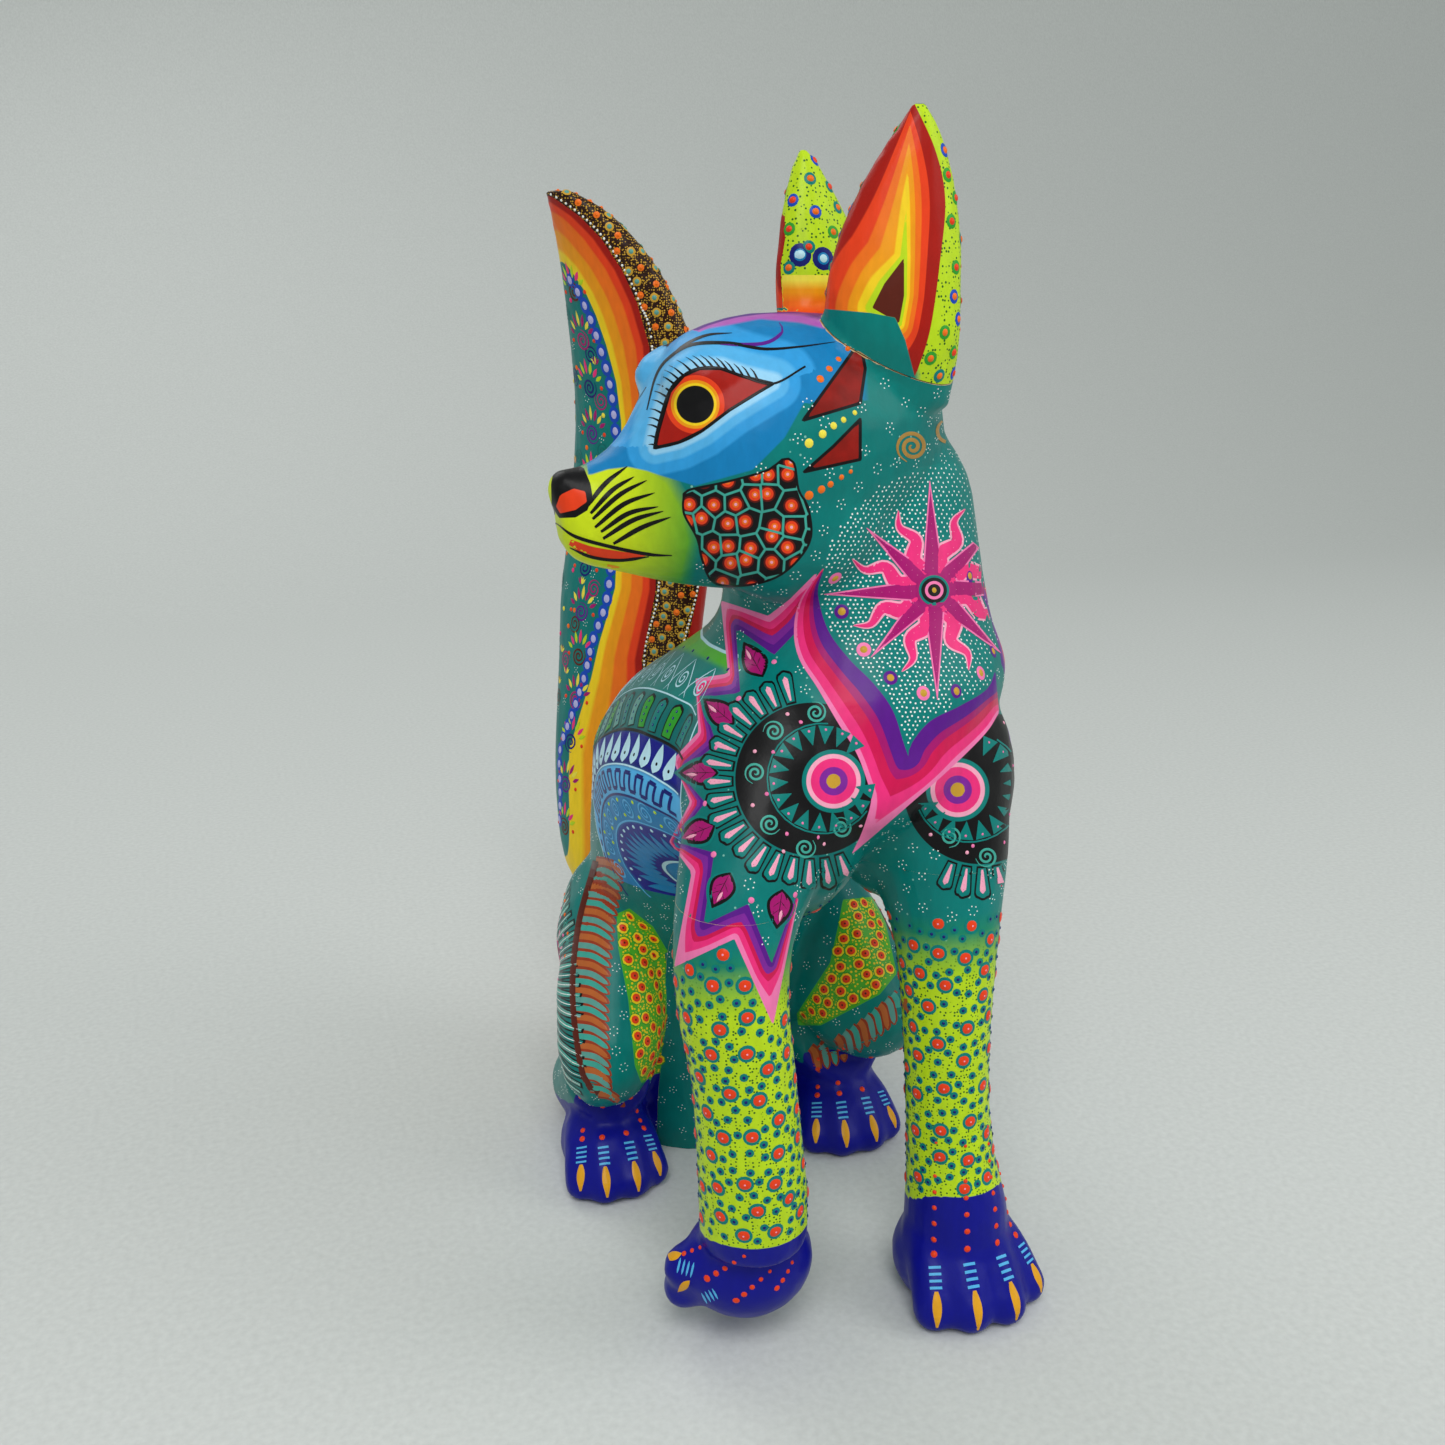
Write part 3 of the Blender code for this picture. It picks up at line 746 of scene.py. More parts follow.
def paint_body(skin):
    """Fields shared by the torso and the tops of the forelegs."""
    p, n = skin.p, skin.n
    q = sight.flat(p)
    toward = sight.facing(skin)
    near = (toward - 0.06) * 25
    x, y, z = p.T
    mask, t = between(q, V_OUT, V_IN)
    skin.attr["vee"], skin.attr["vee_t"] = np.minimum(mask, near), t
    mask, t = between(q, ZIG_OUT, ZIG_IN)
    if skin.name == "torso":
        mask = np.minimum(mask, z - LEG_TOP_Z + 2)
    skin.attr["zig"], skin.attr["zig_t"] = np.minimum(mask, near), t
    collar = np.vstack((np.array(V_IN), [(97.1, 54.9), (88.7, 85.3), (76.9, 88), (65, 86),
        (53.2, 80.9), (43.1, 71.8), (36.3, 61.7)]))
    for key, r, shift in (("eye_r", 10.7, 0.0), ("moon_in", 18.1, 3.8), ("moon", 25.8, 7.4)):
        discs = [r - np.hypot(*(q - eye - (hand * shift, 0.7 * (shift > 0))).T)
                 for eye, hand in ((EYE_A, -1), (EYE_B, 1))]
        skin.attr[key] = np.minimum(np.maximum(*discs), (toward + 0.35) * 25)
    skin.attr["sunfield"] = np.minimum(signed(q, collar), near)
    # the side turned away repeats the zigzag as a regular saw
    turn = np.degrees(np.arctan2(x - 16, -(y + 30)))
    saw = 16 * tooth(z + 6, 27)
    edge = turn - (63 + 0.55 * saw - 9 * smooth(186, 150, z))
    band = np.minimum(edge + 9, 9 - edge)
    foot = 172 if skin.name == "torso" else 142
    skin.attr["saw"] = np.minimum(np.minimum(band * 0.9, z - foot), 262 - z)
    beyond = -1 - edge * 0.9
    skin.attr["saw_t"] = np.clip((9 - edge) / 18, 0, 1)
    for key in ("moon", "moon_in", "eye_r", "vee"):
        skin.attr[key] = np.minimum(skin.attr[key], beyond + 9)
    # flank shield: rings round a point above the knee
    rho = np.hypot(0.75 * (y + 40), z - 145)
    skin.attr["rho"] = rho
    limit = np.where(z > 172, 60 - y, 22 - y + np.maximum(0, z - 150) * 0.2)
    border = np.minimum(limit, z - 118)
    here = np.minimum(np.minimum(border, 243 - z), 40 * (np.abs(n[:, 0]) - 0.12))
    skin.attr["shield"] = np.where(x < 16, np.minimum(here, y + 62), np.minimum(here, y + 40))


ZIGZAG = ["pink", "hot", "crimson", "purple", "violet"]


def ground(coat, scale=0.02):
    """Cloudy darker patches on the teal."""
    coat.over(coat.maths('MULTIPLY_ADD', coat.noise(scale, 2), 2.2, -0.8, clamp=True), "deep_teal")


def zigzag(coat):
    """The five colours across the zigzag."""
    coat.over("zig", coat.steps("zig_t", ZIGZAG, at=[0.2, 0.42, 0.58, 0.8]))


def folds(coat):
    """The five colours across the folded bands of the chest."""
    coat.over("vee", coat.steps("vee_t", ["pink", "hot", "crimson", "magenta", "violet"],
                                at=[0.1, 0.3, 0.52, 0.68]))


def body_coat(name, lime_top=None, paw=None):
    coat = Coat(name, "teal")
    ground(coat)
    coat.colour = coat.mix(coat.maths('MULTIPLY', coat.specks(4.6, 0.4), 0.55), coat.colour, "mint")
    t = coat.maths('DIVIDE', coat.attr("rho"), 140)
    rings = coat.steps(t, ["azure", "ultra", "azure", "sky", "navy", "ultra", "deep_teal", "teal", "leaf",
                           "teal"],
                       at=[rho / 140 for rho in (17, 33, 43, 54, 56, 66, 80, 94, 122)])
    coat.over("shield", rings)
    coat.line("shield", 0.9, "ice")
    coat.over("sunfield", "teal")
    coat.over("moon", "black")
    eye = coat.steps(coat.maths('DIVIDE', coat.attr("eye_r"), 10.7),
                     ["teal", "rose", "hot", "purple", "gold"], at=[0.14, 0.28, 0.55, 0.77])
    coat.over("eye_r", eye)
    coat.over("saw", coat.steps("saw_t", ZIGZAG))
    zigzag(coat)
    folds(coat)
    if lime_top:
        coat.over(coat.maths('MULTIPLY', coat.attr("limb"), 1 / 22, None, clamp=True), "green")
        low = coat.maths('MULTIPLY_ADD', coat.attr("limb"), 1 / 18, -0.35, clamp=True)
        coat.over(low, "lime")
        coat.over(coat.maths('MULTIPLY', low, coat.specks(1.35, 0.36)), "dark_green")
        zigzag(coat)
    if paw:
        coat.over("paw", "ultra", 0.3)
    return coat


for name in ("torso", "left_foreleg", "right_foreleg"):
    paint_body(skins[name])
for name, top in (("left_foreleg", 156), ("right_foreleg", 164)):
    skin = skins[name]
    x, y, z = skin.p.T
    skin.attr["limb"] = top - z - 6 * (0.5 + 0.5 * skin.n[:, 1])
    heel = 40 if name[0] == "l" else 50
    skin.attr["paw"] = heel + (9 if name[0] == "l" else 4) * smooth(0.3, -0.9, skin.n[:, 1]) - z


# hind legs: herringbone outside, cells inside, paws below
PATCH_R = [(-35.4, -64.8), (-31.5, -63.1), (-23.7, -69.1), (-18.6, -77.7), (-16, -93.3),
    (-16.4, -113.9), (-20.3, -119.1), (-27.2, -121.3), (-29.3, -115.7), (-31.5, -93.3), (-34.9, -76)]
PATCH_L = [(40.9, -60.1), (50.4, -59.2), (54.7, -67.4), (58.5, -84.6), (52.9, -91.5), (33.1, -101.9),
    (25.8, -101.9), (25.4, -98.4), (36.6, -81.2), (39.6, -67.4)]
RIB_R = [(-42.7, -46.7), (-48.7, -69.1), (-50.5, -93.3), (-47, -119.1), (-41.8, -125.1)]
for name, patch in (("right_hind_leg", PATCH_R), ("left_hind_leg", PATCH_L)):
    skin = skins[name]
    q = sight.flat(skin.p)
    near = (sight.facing(skin) - 0.05) * 25
    x, y, z = skin.p.T
    skin.attr["patch"] = np.minimum(signed(q, patch), near)
    front = smooth(0.2, -0.8, skin.n[:, 1])
    skin.attr["paw"] = 30 + 12 * front - z - 0.25 * np.maximum(0, y - 20)
for name in ("right_hind_leg", "left_hind_leg"):
    coat = Coat(name + "_paint", "teal")
    ground(coat)
    coat.over("patch", coat.mix(coat.specks(1.4, 0.5), "leaf", "yellow"))
    coat.line("patch", 0.7, "leaf")
    coat.over("paw", "ultra", 0.3)
    skins[name].material = coat.finish()

# head ----------------------------------------------------------------------
BLUE = [(-45.3, 83.4), (-38.7, 85.5), (-31.7, 86.3), (-25.5, 85), (-20.9, 83.4), (-9.2, 79.9),
    (10.2, 85.3), (21, 96.2), (28.8, 110.2), (31.9, 119.5), (44.3, 130.3), (39.6, 138.1),
        (17.9, 141.2), (-13.1, 138.1), (-31.7, 124.1), (-46.5, 93.1)]
EYE_RING = [(-22.8, 92.7), (-21.6, 98.5), (-17.8, 111.7), (-13.1, 117.1), (-7.7, 119.5),
    (-0.7, 119.5), (7, 116.8), (17.1, 114.4), (12.5, 111.7), (2.4, 105.5), (-6.9, 98.5), (-14.7, 94.6)]
CHEEK = [(-13.1, 76), (-11.6, 78.4), (2.4, 81.5), (15.6, 85.3), (20.2, 88.8), (24.1, 87.7),
    (25.7, 78.4), (28.8, 72.9), (29.9, 62.8), (25.7, 55.1), (17.9, 48.9), (7, 46.2), (-3, 47.3),
        (-6.9, 55.1), (-8.5, 62.1), (-13.1, 70.6)]
CHEEK = spline(CHEEK + CHEEK[:1], 2.0)
FLAME_A = [(27.2, 102), (46.5, 128.8), (48.2, 119.5), (46.5, 107.8)]
FLAME_B = [(27.6, 84.6), (37.3, 93.1), (46.5, 102.4), (46.5, 88.8)]
MUZZLE = [(-45.7, 82.6), (-38.7, 85), (-31.7, 85.7), (-25.5, 84.6), (-19.3, 80.7), (-14.7, 72.9),
    (-11.6, 61.3), (-16.2, 41.9), (-36.4, 34.1), (-67.4, 41.9), (-67.4, 72.9), (-57.3, 83)]
CROWN = [(-7.6, 132.6), (0.5, 136.7), (16, 139.7), (32.9, 141.7), (43.1, 137.3), (49.2, 131.9),
    (40.4, 131.6), (26.2, 135), (12.7, 136.3), (0.8, 134)]
NOSTRIL = [(-56.2, 72.9), (-54.8, 76.8), (-50.3, 79), (-46.3, 78), (-45.8, 74.5), (-49.6, 71.8),
    (-54.8, 70.6)]
NOSE = [(-57.7, 80.7), (-56.6, 85.7), (-51.9, 88.4), (-46.9, 85.7), (-44.8, 80.7), (-44.1, 76.8),
    (-45.7, 71.8), (-49.6, 69.4), (-55, 69.2), (-57.5, 72.9)]
IRIS = (-9.2, 107.4)
paint_body(head)
p = head.p
side_near = p[:, 1] < HEAD_MID_Y
q = np.where(side_near[:, None], sight.flat(p), head_twin.flat(p))
near = np.where(side_near, sight.facing(head), head_twin.facing(head))
x, y, z = p.T
head.attr["qa"], head.attr["qb"] = q.T
rim = (near - 0.02) * 25
head.attr["blue"] = np.maximum(signed(q, BLUE), np.where((z > 330) & (x < 22), 4, -9))
head.attr["eye"] = np.minimum(signed(q, EYE_RING), rim)
head.attr["iris"] = 9.9 - np.hypot(*(q - np.array(IRIS)).T)
lid_line = np.interp(q[:, 0], *np.array([(-25.5, 93.1), (2.4, 111.7), (32.6, 118.7)]).T)
head.attr["lid"] = -signed(q, EYE_RING) * np.where(q[:, 1] > lid_line, 0.62, 1.0)
head.attr["cheek"] = np.minimum(signed(q, CHEEK), rim)
head.attr["blaze"] = np.minimum(np.maximum(signed(q, FLAME_A), signed(q, FLAME_B)), rim)
head.attr["muzzle"] = signed(q, MUZZLE)
head.attr["nose"] = np.minimum(signed(q, NOSE) + 0.2, 12)
head.attr["nostril"] = np.minimum(signed(q, NOSTRIL), rim)
off_crown = np.where((z < 338) | (x < -30) | (x > 30), 30, 0)
head.attr["crown"] = np.maximum(signed(q, CROWN), 7 - np.abs(y - HEAD_MID_Y) - off_crown)
head.attr["snout"] = -x
head.attr["apron"] = signed(q, [(40.4, 138.7), (60, 142.7), (80.2, 136), (80.2, 102.2), (48.5, 102.2),
    (47.1, 127.5), (44.4, 132.6)])
coat = Coat("head_paint", "teal")
flat = coat.flat("qa", "qb")
ground(coat)
coat.colour = coat.mix(coat.maths('MULTIPLY', coat.specks(4.6, 0.4), 0.6), coat.colour, "mint")
coat.over("sunfield", "teal")
zigzag(coat)
folds(coat)
yellow_to_green = coat.maths('MULTIPLY_ADD', coat.attr("snout"), 1 / 20, -37 / 20, clamp=True)
fade = coat.mix(yellow_to_green, "green", "chartreuse")
far = coat.maths('MULTIPLY_ADD', coat.attr("muzzle"), 1 / 5, 1.0, clamp=True)
coat.over(far, fade)
deep = coat.steps(coat.maths('DIVIDE', coat.attr("lid"), 18), ["pale_sky", "sky", "mid", "azure"], 0.05,
                  [0.13, 0.3, 0.52])
coat.over("blue", deep, 0.5)
stripe = coat.steps(coat.maths('DIVIDE', coat.attr("crown"), 6), ["orchid", "violet"], 0.2, [0.45])
coat.over("crown", stripe, 0.8)
coat.over("apron", "teal", 3.0)
cells = "black"
for r, colour in ((2.7, "maroon"), (2.1, "vermilion"), (1.1, "orange"), (0.5, "rose")):
    cells = coat.mix(coat.specks(7.3, r, flat, 0.62), cells, colour)
coat.over("cheek", coat.mix(coat.net(7.3, 0.8, flat, 0.62), cells, "sea"))
coat.line("cheek", 0.8, "black")
coat.over("blaze", coat.mix(coat.noise(0.15), "maroon", "red"))
coat.line("blaze", 1.1, "black")
coat.over("eye", "red")
iris = coat.steps(coat.maths('DIVIDE', coat.attr("iris"), 9.9), ["vermilion", "amber", "yellow", "black"],
                  0.0, [0.17, 0.27, 0.36])
both = coat.maths('MINIMUM', coat.attr("iris"), coat.attr("eye"))
coat.over(coat.edge(both), iris)
coat.line("eye", 1.1, "black")
coat.over("nose", "black")
coat.over("nostril", "vermilion")
head.material = coat.finish()

# ears ------------------------------------------------------------------------
EAR_FACE = [(63.7, 211.3), (46.5, 183.3), (32.3, 166.4), (25.8, 154.2), (22.8, 140.7), (49.8, 138.3),
    (58.3, 136.7), (61.7, 129.2), (65, 116.4), (70.1, 132.6), (73.5, 156.2), (75.2, 176.5), (71.8, 193.4)]
PIT = [(61.3, 156.9), (54.6, 148.1), (50.5, 140), (55.2, 137.3), (59.6, 134.6), (61.3, 144.1)]
PIT_TIP, EAR_TIP = np.array((61.3, 156.9)), np.array((63.7, 211.3))
EAR_FOOT = [(12.7, 144.1), (49.8, 141), (58.3, 139.4), (63, 128.5), (66, 117.1), (65.7, 111.7),
    (70.1, 109.3), (80.2, 108.6), (80.2, 95.4), (12.7, 95.4)]


left_rim, right_rim = spline(EAR_FACE[:5], 1.5), spline(EAR_FACE[8:] + EAR_FACE[:1], 1.5)
EAR_RIM = np.vstack((right_rim, left_rim))
EAR_FACE = np.vstack((left_rim, EAR_FACE[5:8], right_rim))


def ear_fields(skin, face, mirrored):
    view = Sight(skin, (1, HEAD_MID_Y)) if mirrored else Sight(skin)
    q = view.flat(skin.p)
    d = signed(q, face)
    up = EAR_TIP - PIT_TIP
    up /= np.linalg.norm(up)
    rise = (q - PIT_TIP) @ up
    aside = np.abs((q - PIT_TIP) @ (-up[1], up[0]))
    heart = np.minimum(np.maximum(0, -signed(q, PIT)), np.where(rise > 0, aside + 0.08 * rise, 99))
    skin.attr["wash"] = signed(q, EAR_FOOT)
    skin.attr["face"] = np.minimum(d, (view.facing(skin) + 0.02) * 25)
    away = line_distance(q, EAR_RIM)
    skin.attr["depth"] = np.clip(away / (away + heart + 1e-6), 0, 1)
    skin.attr["pit"] = signed(q, PIT)


def ear_coat(name):
    coat = Coat(name, "lime")
    coat.over(coat.specks(1.5, 0.4), "dark_green")
    coat.over("wash", "teal", 2.5)
    bands = coat.steps("depth", ["red", "vermilion", "orange", "amber", "yellow", "lime"], 0.02,
                       [0.36, 0.55, 0.7, 0.82, 0.91])
    coat.over("face", bands)
    coat.over(coat.edge(coat.maths('MINIMUM', coat.attr("pit"), coat.attr("face"))), "brown")
    return coat


ear_fields(skins["left_ear"], EAR_FACE, False)
ear_fields(skins["right_ear"], EAR_FACE, True)
back_ear = skins["right_ear"]
back_ear.attr["hem"] = np.where(back_ear.attr["face"] > -0.8, -9, 369 - back_ear.p[:, 2])
skins["left_ear"].material = ear_coat("left_ear_paint").finish()
coat = ear_coat("right_ear_paint")
glow = coat.steps(coat.maths('DIVIDE', coat.attr("hem"), 16),
                  ["pale_yellow", "amber", "orange", "vermilion"], 0.2, [0.2, 0.45, 0.7])
coat.over("hem", glow)
skins["right_ear"].material = coat.finish()

# tail ------------------------------------------------------------------------
tail = skins["tail"]
x, y, z = tail.p.T
# edges of the tail's painting, as (z, x), which a helper cast from photo positions on the CAD
WHITE_LINE = [(96, 0), (150, 0), (199, -1), (232, 6), (275, 8), (341, 4), (359, -1), (373, -7), (386, -15),
              (395, -23), (403, -33), (410, -45)]
EDGE_LINE = [(96, -34), (133, -32), (151, -30), (169, -25), (187, -20), (205, -16), (231, -9), (280, -4),
             (308, -5), (325, -7), (341, -11), (354, -15), (364, -19), (375, -25), (390, -36), (410, -55)]


def along(z, table):
    return np.interp(z, *np.array(table, float).T)


white, yellow = along(z, WHITE_LINE), along(z, EDGE_LINE)
tail.attr["rain_t"] = np.clip((white - x) / (white - yellow), 0, 1)
tail.attr["rain_l"] = x - yellow
tail.attr["ridge"] = x - white
far_line = white + np.interp(z, (96, 200, 240, 300, 400), (9, 17, 19, 26, 30))
tail.attr["far"] = x - far_line
tail.attr["far_t"] = np.clip((y - 128 + 0.12 * (z - 240)) / 34, 0, 1)
coat = Coat("tail_paint", "teal")
ground(coat, 0.03)
bands = coat.steps("rain_t", ["red", "vermilion", "orange", "amber", "yellow"], 0.05,
                   [0.16, 0.34, 0.62, 0.86])
coat.over("rain_l", bands)
stipple = coat.mix(coat.specks(1.05, 0.36), "dark_brown", "gold")
coat.over("ridge", stipple)
coat.over("far", coat.steps("far_t", ["red", "vermilion", "orange", "amber", "yellow", "teal"], 0.04,
                            [0.2, 0.38, 0.55, 0.7, 0.84]))
tail.material = coat.finish()

# --------------------------------------------------------------- build skins
for name, has_paw in (("torso", False), ("left_foreleg", True), ("right_foreleg", True)):
    skins[name].material = body_coat(name + "_paint", has_paw, has_paw).finish()
bare = wood("bare_wood")
for skin in skins.values():
    thing = skin.build(skin.material, bare)
for node in ("neck_dowel", "left_shoulder_dowel", "right_shoulder_dowel", "left_hip_dowel",
             "right_hip_dowel"):
    dowel = bpy.data.objects[node]
    dowel.data.materials.clear()
    dowel.data.materials.append(bare)

# ---------------------------------------------------------------- brushwork
V_POLY = np.vstack((V_OUT, V_IN[::-1]))
# mm per pixel of the enlarged photo crop that the marks of the medallions were read off
CROP_PIXEL = 0.0905


def clear(q, gap=0.6):
    """True where a chest mark would not run onto the folded bands."""
    q = np.array([q])
    return signed(q, V_POLY)[0] < -gap


def rotor(angle):
    a = math.radians(angle)
    return np.array((math.cos(a), math.sin(a)))


chest = Paint(figure)


def drop(ink, chart, root, tip, width, shell="black", body="teal", core="rose"):
    """An outlined finger with a tapered drop and dots inside."""
    root, tip = np.array(root), np.array(tip)
    run = tip - root
    ink.petal(chart, root, tip, width, shell, 0.10, point=0.55)
    ink.petal(chart, root + run * 0.06, tip - run * 0.07, width - 1.2, body, 0.17, keep=False, point=0.5)
    ink.petal(chart, root + run * 0.1, tip - run * 0.2, width * 0.42, core, 0.24, keep=False, point=0.25)
    for k in range(4):
        ink.dot(chart, root + run * (0.3 + 0.14 * k), 0.3 + 0.07 * k, "crimson", 0.34, n=6)


def leaf_mark(ink, chart, centre, aim, size=13.5, width=7.6):
    """A magenta leaf with a black edge, a highlight and veins."""
    centre, aim = np.array(centre), np.array(aim) / np.linalg.norm(aim)
    side = np.array((-aim[1], aim[0]))
    root, tip = centre - aim * size * 0.48, centre + aim * size * 0.52
    ink.leaf(chart, root - aim * 0.6, tip + aim * 1.4, width + 3.2, "teal", 0.08, 0.38)
    ink.leaf(chart, root, tip, width + 1.2, "black", 0.14, 0.38)
    ink.leaf(chart, root + aim * 0.9, tip - aim * 1.5, width - 0.8, "magenta", 0.2, 0.38)
    ink.stroke(chart, (root + aim, tip - aim * 2.5), 0.45, "black", 0.26)
    for s in (-1, 1):
        for k in (0.3, 0.5):
            base = root + aim * size * k
            ink.stroke(chart, (base, base + aim * 2.2 + side * s * 2.2), 0.4, "black", 0.26)
    ink.leaf(chart, centre + aim * 0.5 + side * 0.7, centre + aim * 4.4 + side * 0.5, 1.3, "rose", 0.3)


def medallion(ink, chart, eye, hand):
    """Eye, toothed ring, black crescent with spirals, and a fan of drops."""
    eye = np.array(eye)
    ring, moon = eye + (hand * 42 * CROP_PIXEL, 0.9), eye + (hand * 82 * CROP_PIXEL, 0.5)
    for k in range(18):
        d = rotor(k * 20 + 6)
        base = ring + d * 17.8
        if clear(base - d * 3.5):
            ink.stroke(chart, (base, base - d * 6.2), lambda t: 5.2 * (1 - t) + 0.15, "teal", 0.16, across=2)
            ink.dot(chart, base - d * 1.3, 0.62, "pink", 0.3, n=8)
    turn = [rotor(a) * 18.6 + ring for a in range(0, 361, 12)]
    for a, b in zip(turn, turn[1:]):
        if clear(a) and clear(b):
            ink.stroke(chart, (a, b), 0.55, "teal", 0.17, taper=False, keep=False)
    marks = [(15, 250), (-140, 180), (-210, 25), (-155, -165), (-25, -255), (110, -180)]
    for i, (a, b) in enumerate(marks):
        q = moon + np.array((-hand * a, b)) * CROP_PIXEL
        if clear(q, 2):
            ink.spiral(chart, q, 3.7, "sea", 0.8, 2.3, i * 1.3, -hand)
    for a, b, c in ((-40, 215, "pink"), (-143, 103, "pink"), (-167, -53, "pink"), (-92, -202, "pink"),
                    (25, -215, "pink"), (-90, 245, "rose"), (-212, 106, "rose"), (-220, -95, "rose"),
                    (-105, -268, "rose"), (47, -240, "rose"), (183, -173, "rose")):
        q = moon + np.array((-hand * a, b)) * CROP_PIXEL
        if clear(q, 0.8):
            ink.dot(chart, q, 0.75, c, 0.3, n=8)
    for k in range(19):
        swing = 94 + k * 10.9
        d = rotor(swing) if hand < 0 else rotor(180 - swing)
        root, tip = moon + d * 26.3, moon + d * (37.4 + 0.8 * math.sin(2 * k))
        if clear(tip, 0.3) and clear(root, 0.3):
            drop(ink, chart, root, tip, 6.4)


medallion(chest, sight, EYE_A, -1)
medallion(chest, sight, EYE_B, 1)
for centre, tip in zip([(10.6, 21), (-1, 3.5), (-7.8, -17), (-8.4, -37), (-0.3, -56.4),
    (19.2, -62.7)], [(4.5, 32), (-7.1, 8.5), (-14.5, -17), (-16.3, -40.2), (-6.4, -68.3), (16.6, -81.4)]):
    leaf_mark(chest, sight, centre, np.array(tip) - centre)
for q in [(17.4, 20.5), (5.4, 8.1), (-2.1, -8.4), (-5.9, -27.3), (-3, -44.5), (9.7, -60), (24.6, -58.2)]:
    chest.dot(sight, q, 1.1, "pink", 0.35)

# the sun on the throat
SUN = np.array((71.2, 44.6))
for k in range(8):
    d = rotor(k * 45 + 2)
    reach = 37 if k % 2 == 0 else 31
    out, lean = rotor(k * 45 + 24.5), rotor(k * 45 + 114.5)
    start = SUN + out * 5
    path = [start, start + out * 7 + lean * 2.0, start + out * 13 - lean * 1.6,
            start + out * 19 + lean * 1.6, start + out * 24.5 - lean * 0.4]
    chest.stroke(sight, path, lambda t: 8.4 * (1 - t) ** 0.75 + 0.3, "rose", 0.12, 1.0)
    chest.stroke(sight, path, lambda t: 6.8 * (1 - t) ** 0.85 + 0.1, "hot", 0.18, 1.0)
    for j in range(6):
        chest.dot(sight, path[0] + out * (3 + 2.6 * j) + lean * 1.2 * math.sin(1.0 + j * 1.15), 0.3,
                  "rose", 0.32, n=6)
    chest.stroke(sight, (SUN + d * 3, SUN + d * reach), lambda t: 7.6 * (1 - t) + 0.2, "pink", 0.2, 1.0)
    chest.stroke(sight, (SUN + d * 3, SUN + d * (reach - 3)), lambda t: 6.4 * (1 - t) + 0.1,
                 "magenta", 0.26, 1.0)
    for j in range(9):
        chest.dot(sight, SUN + d * (7.5 + j * 2.5), 0.3 - 0.012 * j, "rose", 0.42, n=6)
for r0, r1, colour in ((0, 6.0, "magenta"), (0, 5.1, "teal"), (0, 4.3, "black"), (0, 3.1, "pink"),
    (0, 2.1, "black")):
    chest.ring(sight, SUN, r0, r1, colour, 0.3 + (6.0 - r1) * 0.05)
chest.dot(sight, SUN, 1.4, "gold", 0.75)
for place, shell in (([(38, 48.7), (47.7, 24.6), (67.8, 9.9), (87.2, 16.7)], "pink"), ([(40.2, 37.4),
    (56.7, 15.1), (78.9, 10.6), (91.3, 24.1), (83.4, 49.5)], "violet")):
    for q in place:
        chest.dot(sight, q, 2.5, shell, 0.22, n=14)
        chest.dot(sight, q, 1.5, "gold", 0.5)

SUNFIELD = np.concatenate([s.attr["sunfield"] if "sunfield" in s.attr else np.full(len(s.p), -99.0)
                           for s in figure.skins])
grid = [(SUN[0] + (a + b % 2 / 2) * 1.75, SUN[1] + b * 1.52) for a in range(-36, 37) for b in range(-52, 53)]
hits = [sight.at(np.array(q) + rng.uniform(-0.3, 0.3, 2)) for q in grid]
hits = [hit for hit in hits
        if hit and SUNFIELD[figure.f[figure.tree.find_nearest(Vector(hit[0]))[2]]].min() > 0.3]
for i in chest.free(np.array([hit[0] for hit in hits]), 0.4):
    chest.spot(*hits[i], 0.5, "white", 0.16, n=6)

